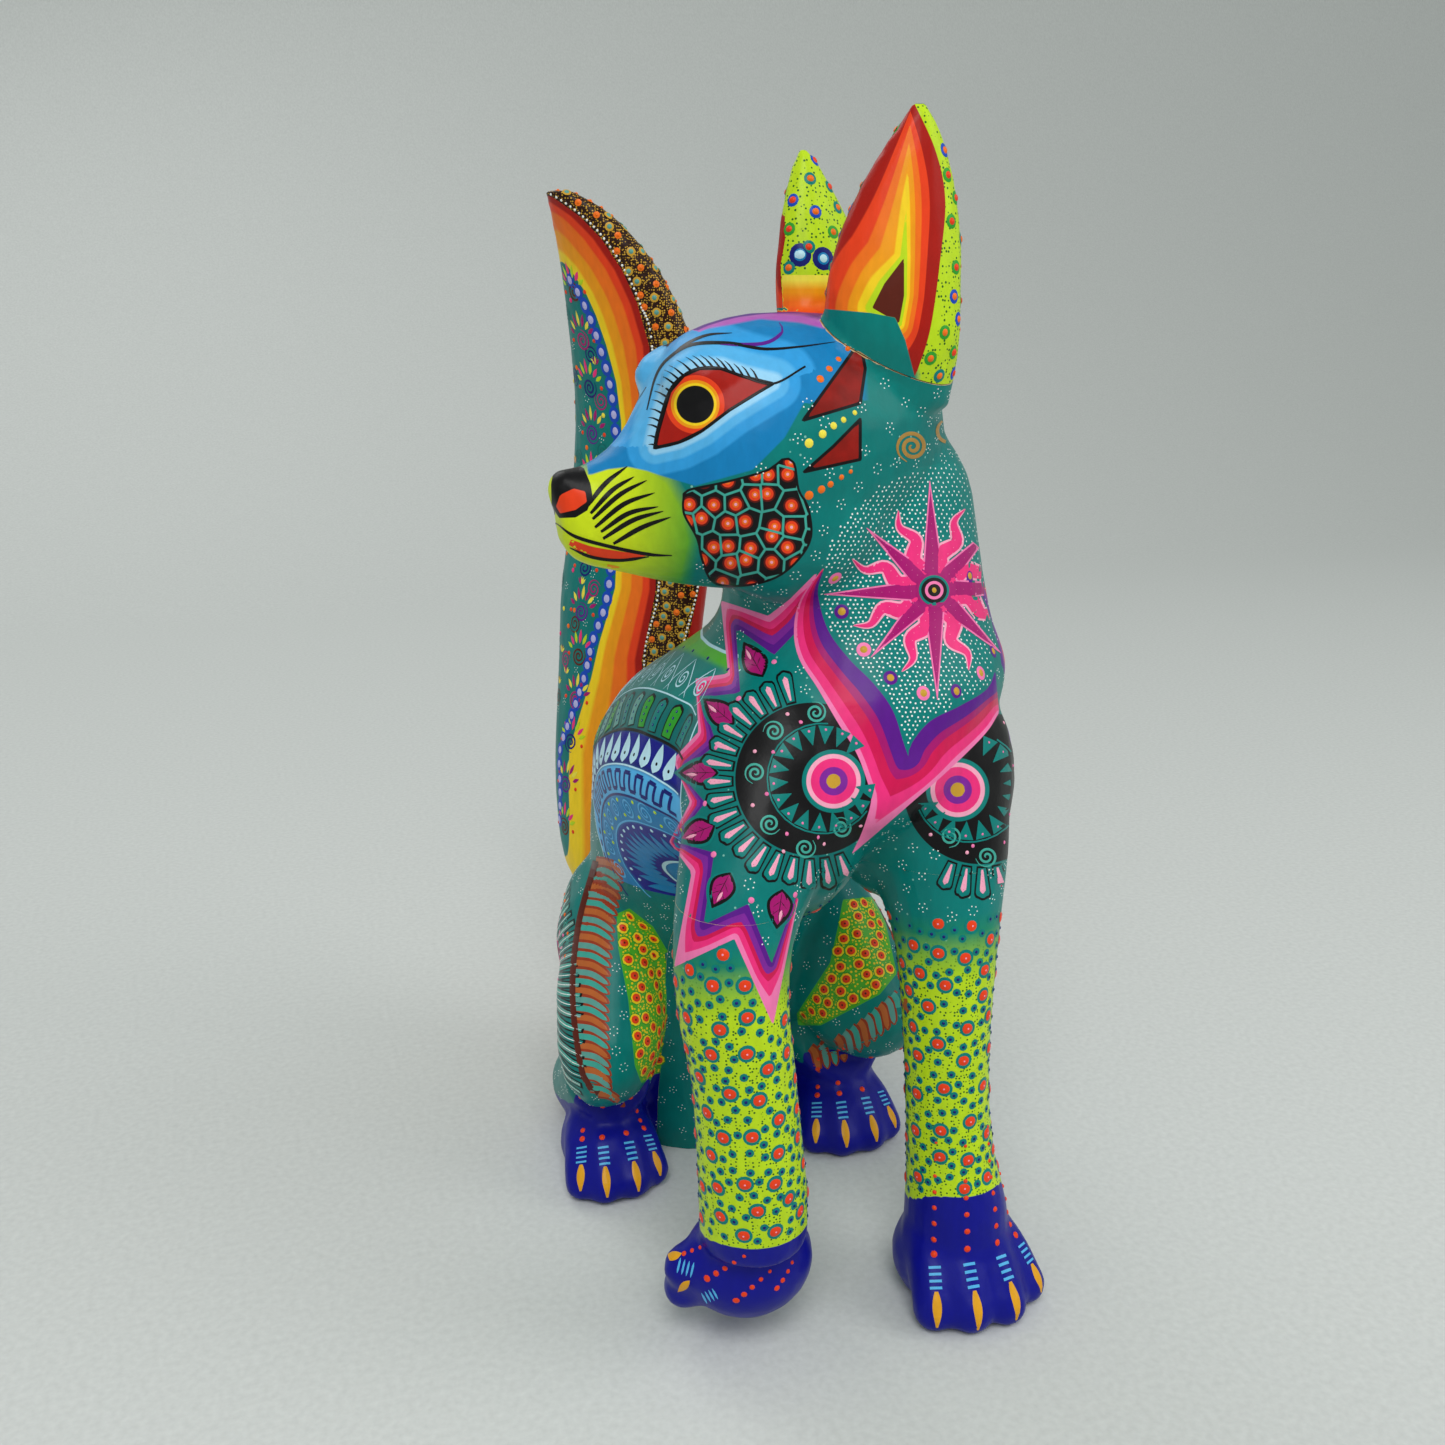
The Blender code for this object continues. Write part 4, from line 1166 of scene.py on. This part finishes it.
# head ------------------------------------------------------------------------
face = Paint(figure)
for view in (sight, head_twin):
    for line in ([(-46.1, 72.5), (-39.5, 80.7), (-32.1, 86.5)], [(-44.5, 70.6), (-37.2, 78.4),
        (-29.8, 83)], [(-43.8, 68.7), (-34.8, 76.8), (-25.5, 81.8)],
                 [(-43, 65.9), (-33.3, 73.7), (-22.8, 77.6)], [(-41, 64.4), (-31.7, 70.6),
                     (-21.6, 72.9)], [(-40.3, 62.1), (-30.2, 68.3), (-19.9, 71.4)],
                 [(-36.8, 60.4), (-27.1, 65.9), (-17.4, 69.4)]):
        face.stroke(view, line, lambda t: 1.5 * math.sin(math.pi * (0.12 + 0.88 * t)) ** 0.7 + 0.15,
                    "black", 0.16)
    face.stroke(view, [(-51.5, 60.9), (-44.1, 57.6), (-34.8, 56.3),
        (-25.5, 56.5)], lambda t: 3.4 * math.sin(math.pi * min(1, 0.15 + t * 0.85)) + 0.3, "vermilion", 0.10)
    face.stroke(view, [(-55.8, 67.1), (-49.6, 62.8), (-37.9, 59.4), (-24.8, 56.8),
        (-17, 56.4)], 1.2, "black", 0.2)
    face.stroke(view, [(-51.5, 59), (-44.1, 55.9), (-34.8, 54.8), (-24.8, 56)], 1.1, "black", 0.2)
    face.stroke(view, [(-54.2, 61.3), (-51.9, 57), (-44.1, 53.5), (-34.8, 52.4)], 1.6, "amber", 0.08)
    rim_line = spline([(-21.6, 93.1), (-21.3, 99.3), (-17.4, 111.7), (-13.1, 117.1), (-7.7, 119.5),
        (-0.7, 119.5), (7, 116.8), (17.1, 114.4)], 2.2)
    for i, q in enumerate(rim_line[:-2]):
        t = i / len(rim_line)
        lean = rotor(168 - 52 * t)
        size = 5.6 * (0.45 + 0.65 * math.sin(math.pi * (0.08 + 0.8 * t)))
        face.stroke(view, (q, q + lean * size * 0.55 + rotor(120 - 50 * t) * 0.5, q + lean * size),
                    lambda s: 0.75 * (1 - s) + 0.1, "black", 0.14, 1.2, across=2)
    face.stroke(view, [(-22.8, 92.3), (-21.6, 99.3), (-17.8, 111.7), (-13.1, 117.1), (-7.7, 119.5),
        (-0.7, 119.5), (7, 116.8), (17.1, 114.4), (28, 120.2)], lambda t: 1.3 * (1 - 0.5 * t), "black", 0.2)
    face.stroke(view, [(17.1, 114), (12.5, 111.6), (2.4, 105.4), (-6.9, 98.4), (-14.7, 94.5),
        (-22.6, 92.3)], 0.9, "black", 0.2)
    for line, w in (([(-25.5, 105.5), (-22.4, 117.1), (-17.8, 123.3), (-10, 127.6), (2.4, 128),
        (14, 126.1), (25.7, 126.8), (38.1, 128.5)], 1.1),
                    ([(-19.3, 121.8), (-13.1, 127.2), (-5.4, 130.7), (3.2, 131.5)], 0.9)):
        face.stroke(view, line, lambda t: w * math.sin(math.pi * (0.08 + 0.9 * t)) + 0.1, "black", 0.15)
    face.stroke(view, [(-0.7, 127.6), (14, 128), (20.2, 131.9), (19.1, 135)], 1.2, "violet", 0.12)
    for line, colour, r0, r1 in (([(33, 116), (36.1, 119.5), (39.2, 122.7), (42.3, 126.2),
        (45.4, 129.9)], "orange", 1.3, 0.8),
                                 ([(29.2, 94.3), (33.8, 97.4), (37.5, 100.2), (40.9, 102.2),
                                     (44.7, 104.6)], "pale_yellow", 1.5, 0.9),
                                 ([(29.2, 76.7), (33.4, 78.7), (36.5, 80.4), (40.2, 82.8),
                                     (43.3, 84.7)], "orange", 1.5, 0.8)):
        for i, q in enumerate(line):
            r = r0 + (r1 - r0) * i / (len(line) - 1)
            face.dot(view, q, r, colour, 0.45)
    face.spiral(view, (64, 93.1), 5.4, "bronze", 1.3, 2.6, 0.6, 1)
    face.spiral(view, (76.5, 98.1), 4.6, "bronze", 1.2, 2.2, 2.6, -1)

# ears --------------------------------------------------------------------------
ear_ink = {}
for name in ("left_ear", "right_ear"):
    skin = skins[name]
    ear_ink[name] = ink = Paint(skin)
    free = (skin.attr["face"] < -1.6) & (skin.attr["wash"] < -2) & (skin.attr.get("hem", -9) < -2)
    for i in ink.scatter(free, 7.5):
        ink.spot(skin.p[i], skin.n[i], 2.3, random.choice(("teal", "green", "blue")), 0.3, n=12)
        ink.spot(skin.p[i], skin.n[i], 1.35, random.choice(("vermilion", "orange")), 0.75, n=10)
        ink.take(skin.p[i], 2.3)

for q in [(26.2, 157.9), (34, 156.6)]:
    for r, colour, rise in ((4.0, "navy", 0.25), (2.7, "azure", 0.4), (1.9, "ice", 0.6)):
        ear_ink["right_ear"].dot(Sight(skins["right_ear"]), q, r, colour, rise, n=14)

# legs ----------------------------------------------------------------------------
limbs = Paint(figure)


def bold_dots(ink, skin_p, skin_n, index):
    for i in index:
        ink.spot(skin_p[i], skin_n[i], 3.1, "teal", 0.2, n=14)
        ink.spot(skin_p[i], skin_n[i], 2.1, "vermilion", 0.6, n=12)
        ink.spot(skin_p[i] + skin_n[i] * 0.5, skin_n[i], 0.6, "rose", 0.26, n=6)
        ink.take(skin_p[i], 2.9)


LIMB = np.concatenate([s.attr.get("limb", np.full(len(s.p), -99.0)) for s in figure.skins])
PAW = np.concatenate([s.attr.get("paw", np.full(len(s.p), -99.0)) for s in figure.skins])
ZIG = np.concatenate([s.attr.get("zig", np.full(len(s.p), -99.0)) for s in figure.skins])
on_leg = (LIMB > 2) & (PAW < -3.2) & (ZIG < -2.6)
bold_dots(limbs, figure.p, figure.n, limbs.scatter(on_leg, 9.4, 1.2))
for i in limbs.scatter(on_leg, 4.2, 1.5):
    limbs.spot(figure.p[i], figure.n[i], 1.5, "teal", 0.2, n=10)
    limbs.spot(figure.p[i], figure.n[i], 0.75, "navy", 0.5, n=8)
    limbs.take(figure.p[i], 1.4)


def paw_toes(ink, toes):
    """Dots, four short strokes and a claw along every toe."""
    for knuckle, tip in toes:
        knuckle, tip = np.array(knuckle, float), np.array(tip, float)
        run = tip - knuckle
        go = run / np.linalg.norm(run)
        side = np.cross(go, (0, 0, 1.0))
        side /= np.linalg.norm(side)
        up = np.cross(side, go)

        def drop_at(s, offset=0.0):
            q = knuckle + run * s + side * offset + up * 40
            hit = ink.skin.tree.ray_cast(Vector(q), Vector(-up), 80)
            return (np.array(hit[0]), np.array(hit[1])) if hit[0] else None

        for j in range(9):
            hit = drop_at(-0.75 + j * 0.15)
            if hit:
                ink.spot(*hit, 0.55 + 0.09 * j, "vermilion", 0.6, n=8)
        for j in range(4):
            rows = [drop_at(0.58 + j * 0.075, o) for o in (-2.2, -0.8, 0.8, 2.2)]
            ends = [drop_at(0.58 + j * 0.075 + 0.03, o) for o in (-2.2, -0.8, 0.8, 2.2)]
            if all(rows) and all(ends):
                ink.add([h[0] + h[1] * 0.2 for h in rows + ends],
                        [(k, k + 1, 5 + k, 4 + k) for k in range(3)], "sky")
        n = 9
        grid = []
        for j in range(n):
            s, w = 0.86 + j * 0.045, 1.7 * math.sin(math.pi * (0.12 + 0.8 * j / (n - 1)))
            grid.append([drop_at(s, o * w) for o in (-1, -0.4, 0.4, 1)])
        for a, b in zip(grid, grid[1:]):
            if all(a) and all(b):
                ink.add([h[0] + h[1] * (0.25 if 0 < k % 4 < 3 else 0.1) for k, h in enumerate(a + b)],
                        [(k, k + 1, 5 + k, 4 + k) for k in range(3)], "ochre")


TOES = [((46, -90, 27), (39, -112, 7)), ((53, -92, 30), (51, -117, 7.5)), ((61, -92, 29), (65, -117, 7.5)),
        ((68, -90, 24), (78, -109, 7)), ((-56, 30, 19), (-63, 9, 6.5)), ((-51, 28, 22), (-54.5, 3, 7)),
        ((-44, 28, 22), (-42.5, 3, 7)), ((-38, 30, 19), (-32.5, 9, 6.5)), ((52, 30, 19), (43, 10, 6.5)),
        ((57, 28, 22), (53, 4, 7)), ((64, 28, 22), (65.5, 4, 7)), ((69, 30, 19), (76, 10, 6.5))]
paw_toes(limbs, TOES)
for row in ([(-7.6, -177.2), (-10.3, -178.2), (-13, -179.2)], [(7.3, -180.2), (3.9, -182.3),
    (0.8, -184.3), (-2.2, -186), (-5.2, -187.7)],
            [(16, -185.3), (13, -188), (10, -190.7), (7.3, -193.1), (4.6, -195.1)], [(23.5, -182.3),
                (22.1, -185.3), (20.4, -188.3), (18.4, -191)]):
    for k, q in enumerate(row):
        limbs.dot(sight, q, 0.75 + 0.14 * k, "vermilion", 0.5, n=8)
for k in range(4):
    a = np.array((-9.6, -182.3)) - (1.5 * k, -0.5 * k)
    limbs.stroke(sight, (a, a + (-1.2, -5.0)), 0.7, "sky", 0.2)
    a = np.array((-3.5, -191)) - (1.2 * k, 0.5 * k)
    limbs.stroke(sight, (a, a + (2.0, -3.6)), 0.7, "sky", 0.2)
limbs.leaf(sight, (-13.7, -179.2), (-19.8, -181.2), 3.0, "ochre", 0.3, 0.45)
limbs.leaf(sight, (-11, -188.3), (-15, -192.1), 2.6, "ochre", 0.3, 0.45)

# tail ----------------------------------------------------------------------------
tail_ink = Paint(tail)
FRONT = Chart(tail, (0, 0, 0), (1, 0, 0), (0, 1, 0))
near_edge = spline([(x0 + 1.0, z0) for z0, x0 in WHITE_LINE], 2.0)
for q in near_edge:
    tail_ink.dot(FRONT, q, 0.62, "white", 0.35, n=8)
far_edge = spline([(x0 + np.interp(z0, (96, 200, 240, 300, 400), (8, 16, 18, 25, 29)), z0)
                   for z0, x0 in WHITE_LINE[:-4]], 2.0)
for q in far_edge:
    tail_ink.dot(FRONT, q, 0.62, "white", 0.35, n=8)
beads = spline([(x0 - 2.6, z0) for z0, x0 in EDGE_LINE], 1.0)
last = -9.0
for q in beads:
    hit = FRONT.at(q + (0.4, 0))
    if hit and np.linalg.norm(hit[0] - last) > 6.4:
        last = hit[0]
        tail_ink.spot(*hit, 3.3, "blue", 0.25, n=14, long=1.15)
        tail_ink.spot(*hit, 2.0, "lilac", 0.5, n=12, long=1.15)
        tail_ink.take(hit[0], 3.1)
ridge = (tail.attr["ridge"] > 2.2) & (tail.attr["far"] < -1.8) & ~tail.joint
for i in tail_ink.scatter(ridge, 5.0, 0.7):
    pick = random.random()
    shell, core = ("gold", "grey_teal") if pick < 0.55 else ("orange", "orange")
    tail_ink.spot(tail.p[i], tail.n[i], 2.0 if pick < 0.55 else 1.5, shell, 0.35, n=12)
    tail_ink.spot(tail.p[i], tail.n[i], 1.3 if pick < 0.55 else 0.9, core, 0.8, n=10)
    tail_ink.take(tail.p[i], 2.0)
teal_side = (tail.attr["rain_l"] < -5) & ~tail.joint
LEFT = Chart(tail, (0, 0, 0), (0, -1, 0), (1, 0, 0))
for k, z0 in enumerate(np.arange(112, 366, 21)):
    stem = np.array((-np.interp(z0, (110, 250, 370), (150, 160, 151)), z0))
    tail_ink.spiral(LEFT, stem, 4.8, ("brown", "violet", "navy", "magenta")[k % 4], 1.0, 2.5, k)
    for j in range(7):
        d = rotor(30 + 20 * j)
        tail_ink.leaf(LEFT, stem + d * 6.2, stem + d * (13 - 0.8 * abs(j - 3)), 2.0,
                      ("lime", "hot", "pale_yellow", "magenta")[(j + k) % 2 + 2 * (k % 2)], 0.15)
    for j in (-1, 1):
        tail_ink.dot(LEFT, stem + (j * 8, 0), 1.1, "vermilion", 0.5, n=8)
for i in tail_ink.scatter(teal_side, 19, 2.5):
    hit = (tail.p[i], tail.n[i])
    view = Chart(tail, hit[0], np.cross((0, 0, 1.0), -hit[1]), -hit[1])
    tail_ink.spiral(view, (0, 0), 4.6, random.choice(("brown", "deep_teal", "magenta", "navy")), 0.8, 2.4,
                    random.random() * 6)
for i in tail_ink.scatter(teal_side, 9.5, 1.5):
    hit = (tail.p[i], tail.n[i])
    view = Chart(tail, hit[0], np.cross((0, 0, 1.0), -hit[1]), -hit[1])
    kind = random.random()
    if kind < 0.35:
        for k in range(5):
            d = rotor(50 + 20 * k)
            tail_ink.leaf(view, d * 0.8, d * 4.4, 1.1, random.choice(("magenta", "pale_yellow")), 0.15)
        tail_ink.take(hit[0], 3.6)
    elif kind < 0.7:
        tail_ink.floret(*hit)
    else:
        tail_ink.spot(*hit, 1.2, random.choice(("orange", "pale_yellow", "hot")), 0.5)
        tail_ink.take(hit[0], 1.4)

# flank shield -------------------------------------------------------------------
sides = Paint(figure)


def on_ring(rho, swing):
    """Place in the side view of a ring point of the shield."""
    d = rotor(swing)
    return np.array((-40 + rho * d[0] / 0.75, 145 + rho * d[1]))


def on_shield(q):
    limit = 58 if q[1] > 172 else 21 + max(0, q[1] - 150) * 0.2
    return q[0] < limit and q[1] > 119


for n in ((1, 0, 0), (-1, 0, 0)):
    flank = Chart(figure, (18, 0, 0), (0, 1, 0), n)
    start = -60 if n[0] > 0 else -48

    def ok(q, lead=0.0):
        return on_shield(q) and q[0] > start + lead

    for swing in range(-4, 116, 6):
        root, tip = on_ring(55, swing), on_ring(65.3, swing)
        if ok(tip):
            sides.leaf(flank, root, tip, 6.0, "ice", 0.12, 0.25)
            sides.dot(flank, on_ring(58.2, swing), 0.95, "black", 0.26, n=8)
        root, tip = on_ring(67.5, swing), on_ring(79.5, swing)
        if ok(tip):
            sides.petal(flank, root, tip, 7.4, "black", 0.1, point=0.8)
            sides.petal(flank, root + (tip - root) * 0.04, tip - (tip - root) * 0.07, 5.9,
                        random.choice(("green", "teal", "grey_teal")), 0.16, point=0.8, keep=False)
            for k in range(4):
                sides.dot(flank, root + (tip - root) * (0.22 + 0.19 * k), 0.85, "navy", 0.3, n=8)
                sides.dot(flank, root + (tip - root) * (0.22 + 0.19 * k), 0.4, "ice", 0.42, n=6)
    for swing in range(-4, 112, 7):
        q = on_ring(86.5, swing)
        if ok(q):
            sides.spiral(flank, q, 3.5, "ice", 0.6, 2.3, swing)
            rise = (on_ring(81.5, swing - 2.6), on_ring(85, swing - 3.4), on_ring(93, swing))
            fall = (on_ring(93, swing), on_ring(85, swing + 3.4), on_ring(81.5, swing + 2.6))
            sides.stroke(flank, rise, 0.5, "ice", 0.12)
            sides.stroke(flank, fall, 0.5, "ice", 0.12)
            sides.dot(flank, on_ring(94.5, swing + 3), 0.9, "navy", 0.25, n=8)
    for k, swing in enumerate(np.arange(-4, 115, 3.6)):
        root, tip = on_ring(95, swing), on_ring(128, swing + 5)
        if ok(root, 6) and tip[1] < 258:
            sides.leaf(flank, root, tip, 6.5, ("lime", "leaf", "pale_yellow", "teal")[k % 4], 0.1, 0.5)
    for rho, colour, w in ((66.3, "black", 1.1), (54.2, "ice", 0.6), (43.3, "navy", 1.0),
        (33.4, "sky", 0.7),
                           (17.2, "ice", 1.0), (80.6, "ice", 0.5)):
        arc = [on_ring(rho, a) for a in range(-20, 130, 3)]
        for a, b in zip(arc, arc[1:]):
            if ok(a) and ok(b):
                sides.stroke(flank, (a, b), w, colour, 0.14, taper=False)
    for k in range(16):
        a0 = -4 + k * 7.4
        keys = [on_ring(45.6, a0), on_ring(52, a0), on_ring(52, a0 + 3.7), on_ring(45.6, a0 + 3.7),
                on_ring(45.6, a0 + 7.4)]
        for a, b in zip(keys, keys[1:]):
            if ok(a) and ok(b):
                sides.stroke(flank, (a, b), 1.5, "navy", 0.12, taper=False)
    for k, swing in enumerate(range(-2, 116, 15)):
        if ok(on_ring(38.5, swing)):
            sides.spiral(flank, on_ring(38.5, swing), 4.4, "sky", 0.8, 2.4, swing)
        for q in (on_ring(41.3, swing + 7.5), on_ring(35.6, swing + 7.5)):
            if ok(q):
                sides.dot(flank, q, 0.9, "lime", 0.3, n=8)
    for swing in range(-10, 118, 9):
        root, tip = on_ring(19, swing), on_ring(29.5, swing)
        if ok(tip):
            sides.leaf(flank, root, tip, 4.4, "azure", 0.12, 0.3)
            sides.dot(flank, on_ring(31, swing + 4.5), 0.9, "ice", 0.3, n=8)
    for rho, count in ((13.5, 8), (9.5, 6), (5.5, 4)):
        for k in range(count):
            q = on_ring(rho, 10 + k * 100 / count)
            if ok(q):
                sides.spiral(flank, q, 1.9, "white", 0.5, 1.0, 0)

# haunches ----------------------------------------------------------------------
haunch = Paint(figure)
PATCH = np.concatenate([s.attr.get("patch", np.full(len(s.p), -99.0)) for s in figure.skins])
for i in haunch.scatter(PATCH > 1.4, 5.3, 0.3):
    haunch.spot(figure.p[i], figure.n[i], 3.0, "green", 0.1, n=8)
    haunch.spot(figure.p[i], figure.n[i], 2.6, "yellow", 0.2, n=8)
    haunch.spot(figure.p[i], figure.n[i], 1.85, "vermilion", 0.42, n=12)
    haunch.spot(figure.p[i] + figure.n[i] * 0.3, figure.n[i], 0.6, "brown", 0.24, n=8)
    haunch.take(figure.p[i], 2.3)
rib = spline(RIB_R, 2.7)


def barb(chart, q, reach, sag, colour):
    """A drooping feather barb with a rust edge."""
    path = [q, q + (reach * 0.5, sag * 0.2), q + (reach, sag)]
    haunch.stroke(chart, path, lambda t: 3.3 * math.sqrt(max(0.03, 1 - t ** 6)), "rust", 0.1, 1.0, across=2)
    haunch.stroke(chart, [path[0], path[1], path[2] * 0.94 + path[0] * 0.06],
                  lambda t: 2.0 * math.sqrt(max(0.03, 1 - t ** 6)), colour, 0.16, 1.0, across=2, keep=False)


for k, q in enumerate(rib):
    barb(sight, q, 4.5 + 8 * math.sin(math.pi * min(1, 0.22 + 0.62 * k / len(rib))), -4.6,
         ("copper", "grey_teal", "sea")[k % 3])
haunch.stroke(sight, rib, 2.0, "brown", 0.3, raw=True, taper=False)
for k, q in enumerate(spline([(29.7, -109.6), (38.3, -106.2), (46, -101), (52.9, -95.4),
    (59.4, -89.8)], 2.7)):
    barb(sight, q, 3.0, -8.5, ("copper", "grey_teal", "sea")[k % 3])
for n in ((1, 0, 0), (-1, 0, 0)):
    wing = Chart(figure, (18, 0, 0), (0, 1, 0), n)
    crest = spline([(66, 120), (44, 113), (24, 99), (8, 83), (-2, 66), (2, 52)], 4.4)
    for k, q in enumerate(crest[1:]):
        t = k / len(crest)
        go = rotor(-52 + 62 * t)
        size = 20 + 24 * math.sin(math.pi * min(1, 0.12 + t))
        if q[1] > 50:
            haunch.petal(wing, q, q + go * size, 4.6, "black", 0.1, point=0.6)
            haunch.petal(wing, q + go, q + go * (size - 1.2), 3.2, ("sea", "teal", "grey_teal")[k % 3], 0.16,
                         point=0.5, keep=False)
            haunch.stroke(wing, (q + go, q + go * (size - 3)), 0.45, "white", 0.24)
            for j in range(5):
                haunch.dot(wing, q + go * size * (0.25 + 0.15 * j), 0.45,
                           ("black", "white", "orange")[k % 3], 0.3, n=6)
    if n[0] < 0:
        haunch.stroke(wing, crest, 2.0, "brown", 0.3, raw=True, taper=False)
        for q in spline(crest[::3], 4.0):
            haunch.dot(wing, q, 0.7, "orange", 0.6, n=8)

# rosettes on the back and on the outer thighs -------------------------------------
garden = Paint(figure)


def rosette(chart, centre, size, petals, heart):
    """Rings round an eye, and a fan of drops with a pink dot between each two."""
    centre = np.array(centre, float)
    for r1, colour in zip((0.46, 0.38, 0.27, 0.16), ("black", "hot", heart, "gold")):
        garden.ring(chart, centre, 0, size * r1, colour, 0.12 + (0.46 - r1) * 0.6)
    for k in range(petals):
        d = rotor(90 + k * 360 / petals)
        drop(garden, chart, centre + d * size * 0.5, centre + d * size, size * 3.0 / petals)
        tip = centre + rotor(90 + (k + 0.5) * 360 / petals) * size * 1.08
        garden.dot(chart, tip, 0.9, "pink", 0.4, n=8)


BACK = Chart(figure, (0, 0, 0), (-1, 0, 0), (0, -1, 0))
for (a, b), size, petals, heart in (((-16, 222), 17, 12, "violet"), ((-8, 178), 21, 14, "azure"),
                                    ((-6, 130), 19, 12, "violet")):
    rosette(BACK, (a, b), size, petals, heart)
for side in (-1, 1):
    stem = [(-10 + side * 32, 226), (-8 + side * 30, 205), (-8 + side * 38, 184), (-7 + side * 32, 160),
            (-7 + side * 34, 138), (-6 + side * 30, 112)]
    garden.stroke(BACK, stem, 1.2, "lime", 0.2)
    for k, q in enumerate(spline(stem, 7.5)[1:]):
        for lean in (55, 125):
            garden.leaf(BACK, q, q + rotor(lean) * 7.5, 3.0, ("lime", "leaf", "pale_yellow")[k % 3], 0.16)
        garden.dot(BACK, q, 1.0, "vermilion", 0.5, n=8)
for n in ((1, 0, 0), (-1, 0, 0)):
    wing = Chart(figure, (18, 0, 0), (0, 1, 0), n)
    rosette(wing, (62, 88), 17, 12, "violet")
    for k in range(11):
        q = np.array((62, 88)) + rotor(-70 + k * 22) * 23
        garden.spiral(wing, q, 2.6, "sea", 0.7, 2.0, k)
        garden.dot(wing, np.array((62, 88)) + rotor(-59 + k * 22) * 24, 1.0, "orange", 0.5, n=8)

# florets over the free teal -------------------------------------------------
teal_free = np.ones(len(figure.p), bool)
other_paint = dict.fromkeys(("shield", "sunfield", "saw", "moon", "eye_r", "paw", "patch", "blue", "eye",
                             "cheek", "blaze", "nose"), 0.0)
for key, limit in dict(other_paint, zig=0.5, vee=0.5, limb=2.0, muzzle=-4.0).items():
    field = np.concatenate([s.attr.get(key, np.full(len(s.p), -99.0)) for s in figure.skins])
    teal_free &= field < limit - 1.2
stars = Paint(figure)
for i in stars.scatter(teal_free & (figure.p[:, 2] > 6), 7.6, 1.9):
    stars.floret(figure.p[i], figure.n[i])

for label, ink in dict(chest=chest, face=face, limbs=limbs, sides=sides, haunch=haunch, garden=garden,
                       stars=stars, tail=tail_ink, **ear_ink).items():
    ink.build(label)

# ------------------------------------------------------------------- studio
scene = bpy.context.scene
camera = bpy.data.objects.new("camera", bpy.data.cameras.new("camera"))
scene.collection.objects.link(camera)
scene.camera = camera
camera.data.sensor_width, camera.data.lens = 36.0, 36.9
camera.location = (EYE + SHIFT) * MM
camera.rotation_euler = Vector(AHEAD).to_track_quat('-Z', 'Y').to_euler()
camera.data.clip_start = 0.01

mesh = bpy.data.meshes.new("floor")
profile = [(-9.0, 0.0), (1.2, 0.0)] + [(1.2 + 1.6 * math.sin(a), 1.6 - 1.6 * math.cos(a))
                                       for a in np.linspace(0.08, math.pi / 2, 18)] + [(2.8, 6.0)]
mesh.from_pydata([(x0, y0, z0) for y0, z0 in profile for x0 in (-7, 7)], [],
                 [(2 * i, 2 * i + 1, 2 * i + 3, 2 * i + 2) for i in range(len(profile) - 1)])
mesh.polygons.foreach_set("use_smooth", [True] * len(mesh.polygons))
floor = bpy.data.objects.new("floor", mesh)
scene.collection.objects.link(floor)
sheet = Coat("paper", "white", 0.6, 0.01)
sheet.colour = sheet.plain((0.62, 0.64, 0.625))
mesh.materials.append(sheet.finish())


def lamp(name, place, aim, size, power, tint=(1, 1, 1)):
    data = bpy.data.lights.new(name, 'AREA')
    data.shape, data.size, data.energy, data.color = 'DISK', size, power, tint
    thing = bpy.data.objects.new(name, data)
    scene.collection.objects.link(thing)
    thing.location = place
    thing.rotation_euler = (Vector(aim) - Vector(place)).to_track_quat('-Z', 'Y').to_euler()


lamp("key", (-0.5, -1.5, 2.0), (0, 0, 0.2), 1.3, 27)
lamp("fill", (1.6, -1.0, 1.3), (0, 0, 0.2), 1.4, 10)
lamp("rim", (-0.6, 1.8, 1.9), (0, 0, 0.25), 1.4, 11)
world = bpy.data.worlds.new("studio")
scene.world = world
world.use_nodes = True
world.node_tree.nodes["Background"].inputs[0].default_value = (0.78, 0.82, 0.8, 1)
world.node_tree.nodes["Background"].inputs[1].default_value = 0.62
scene.view_settings.view_transform = 'Standard'
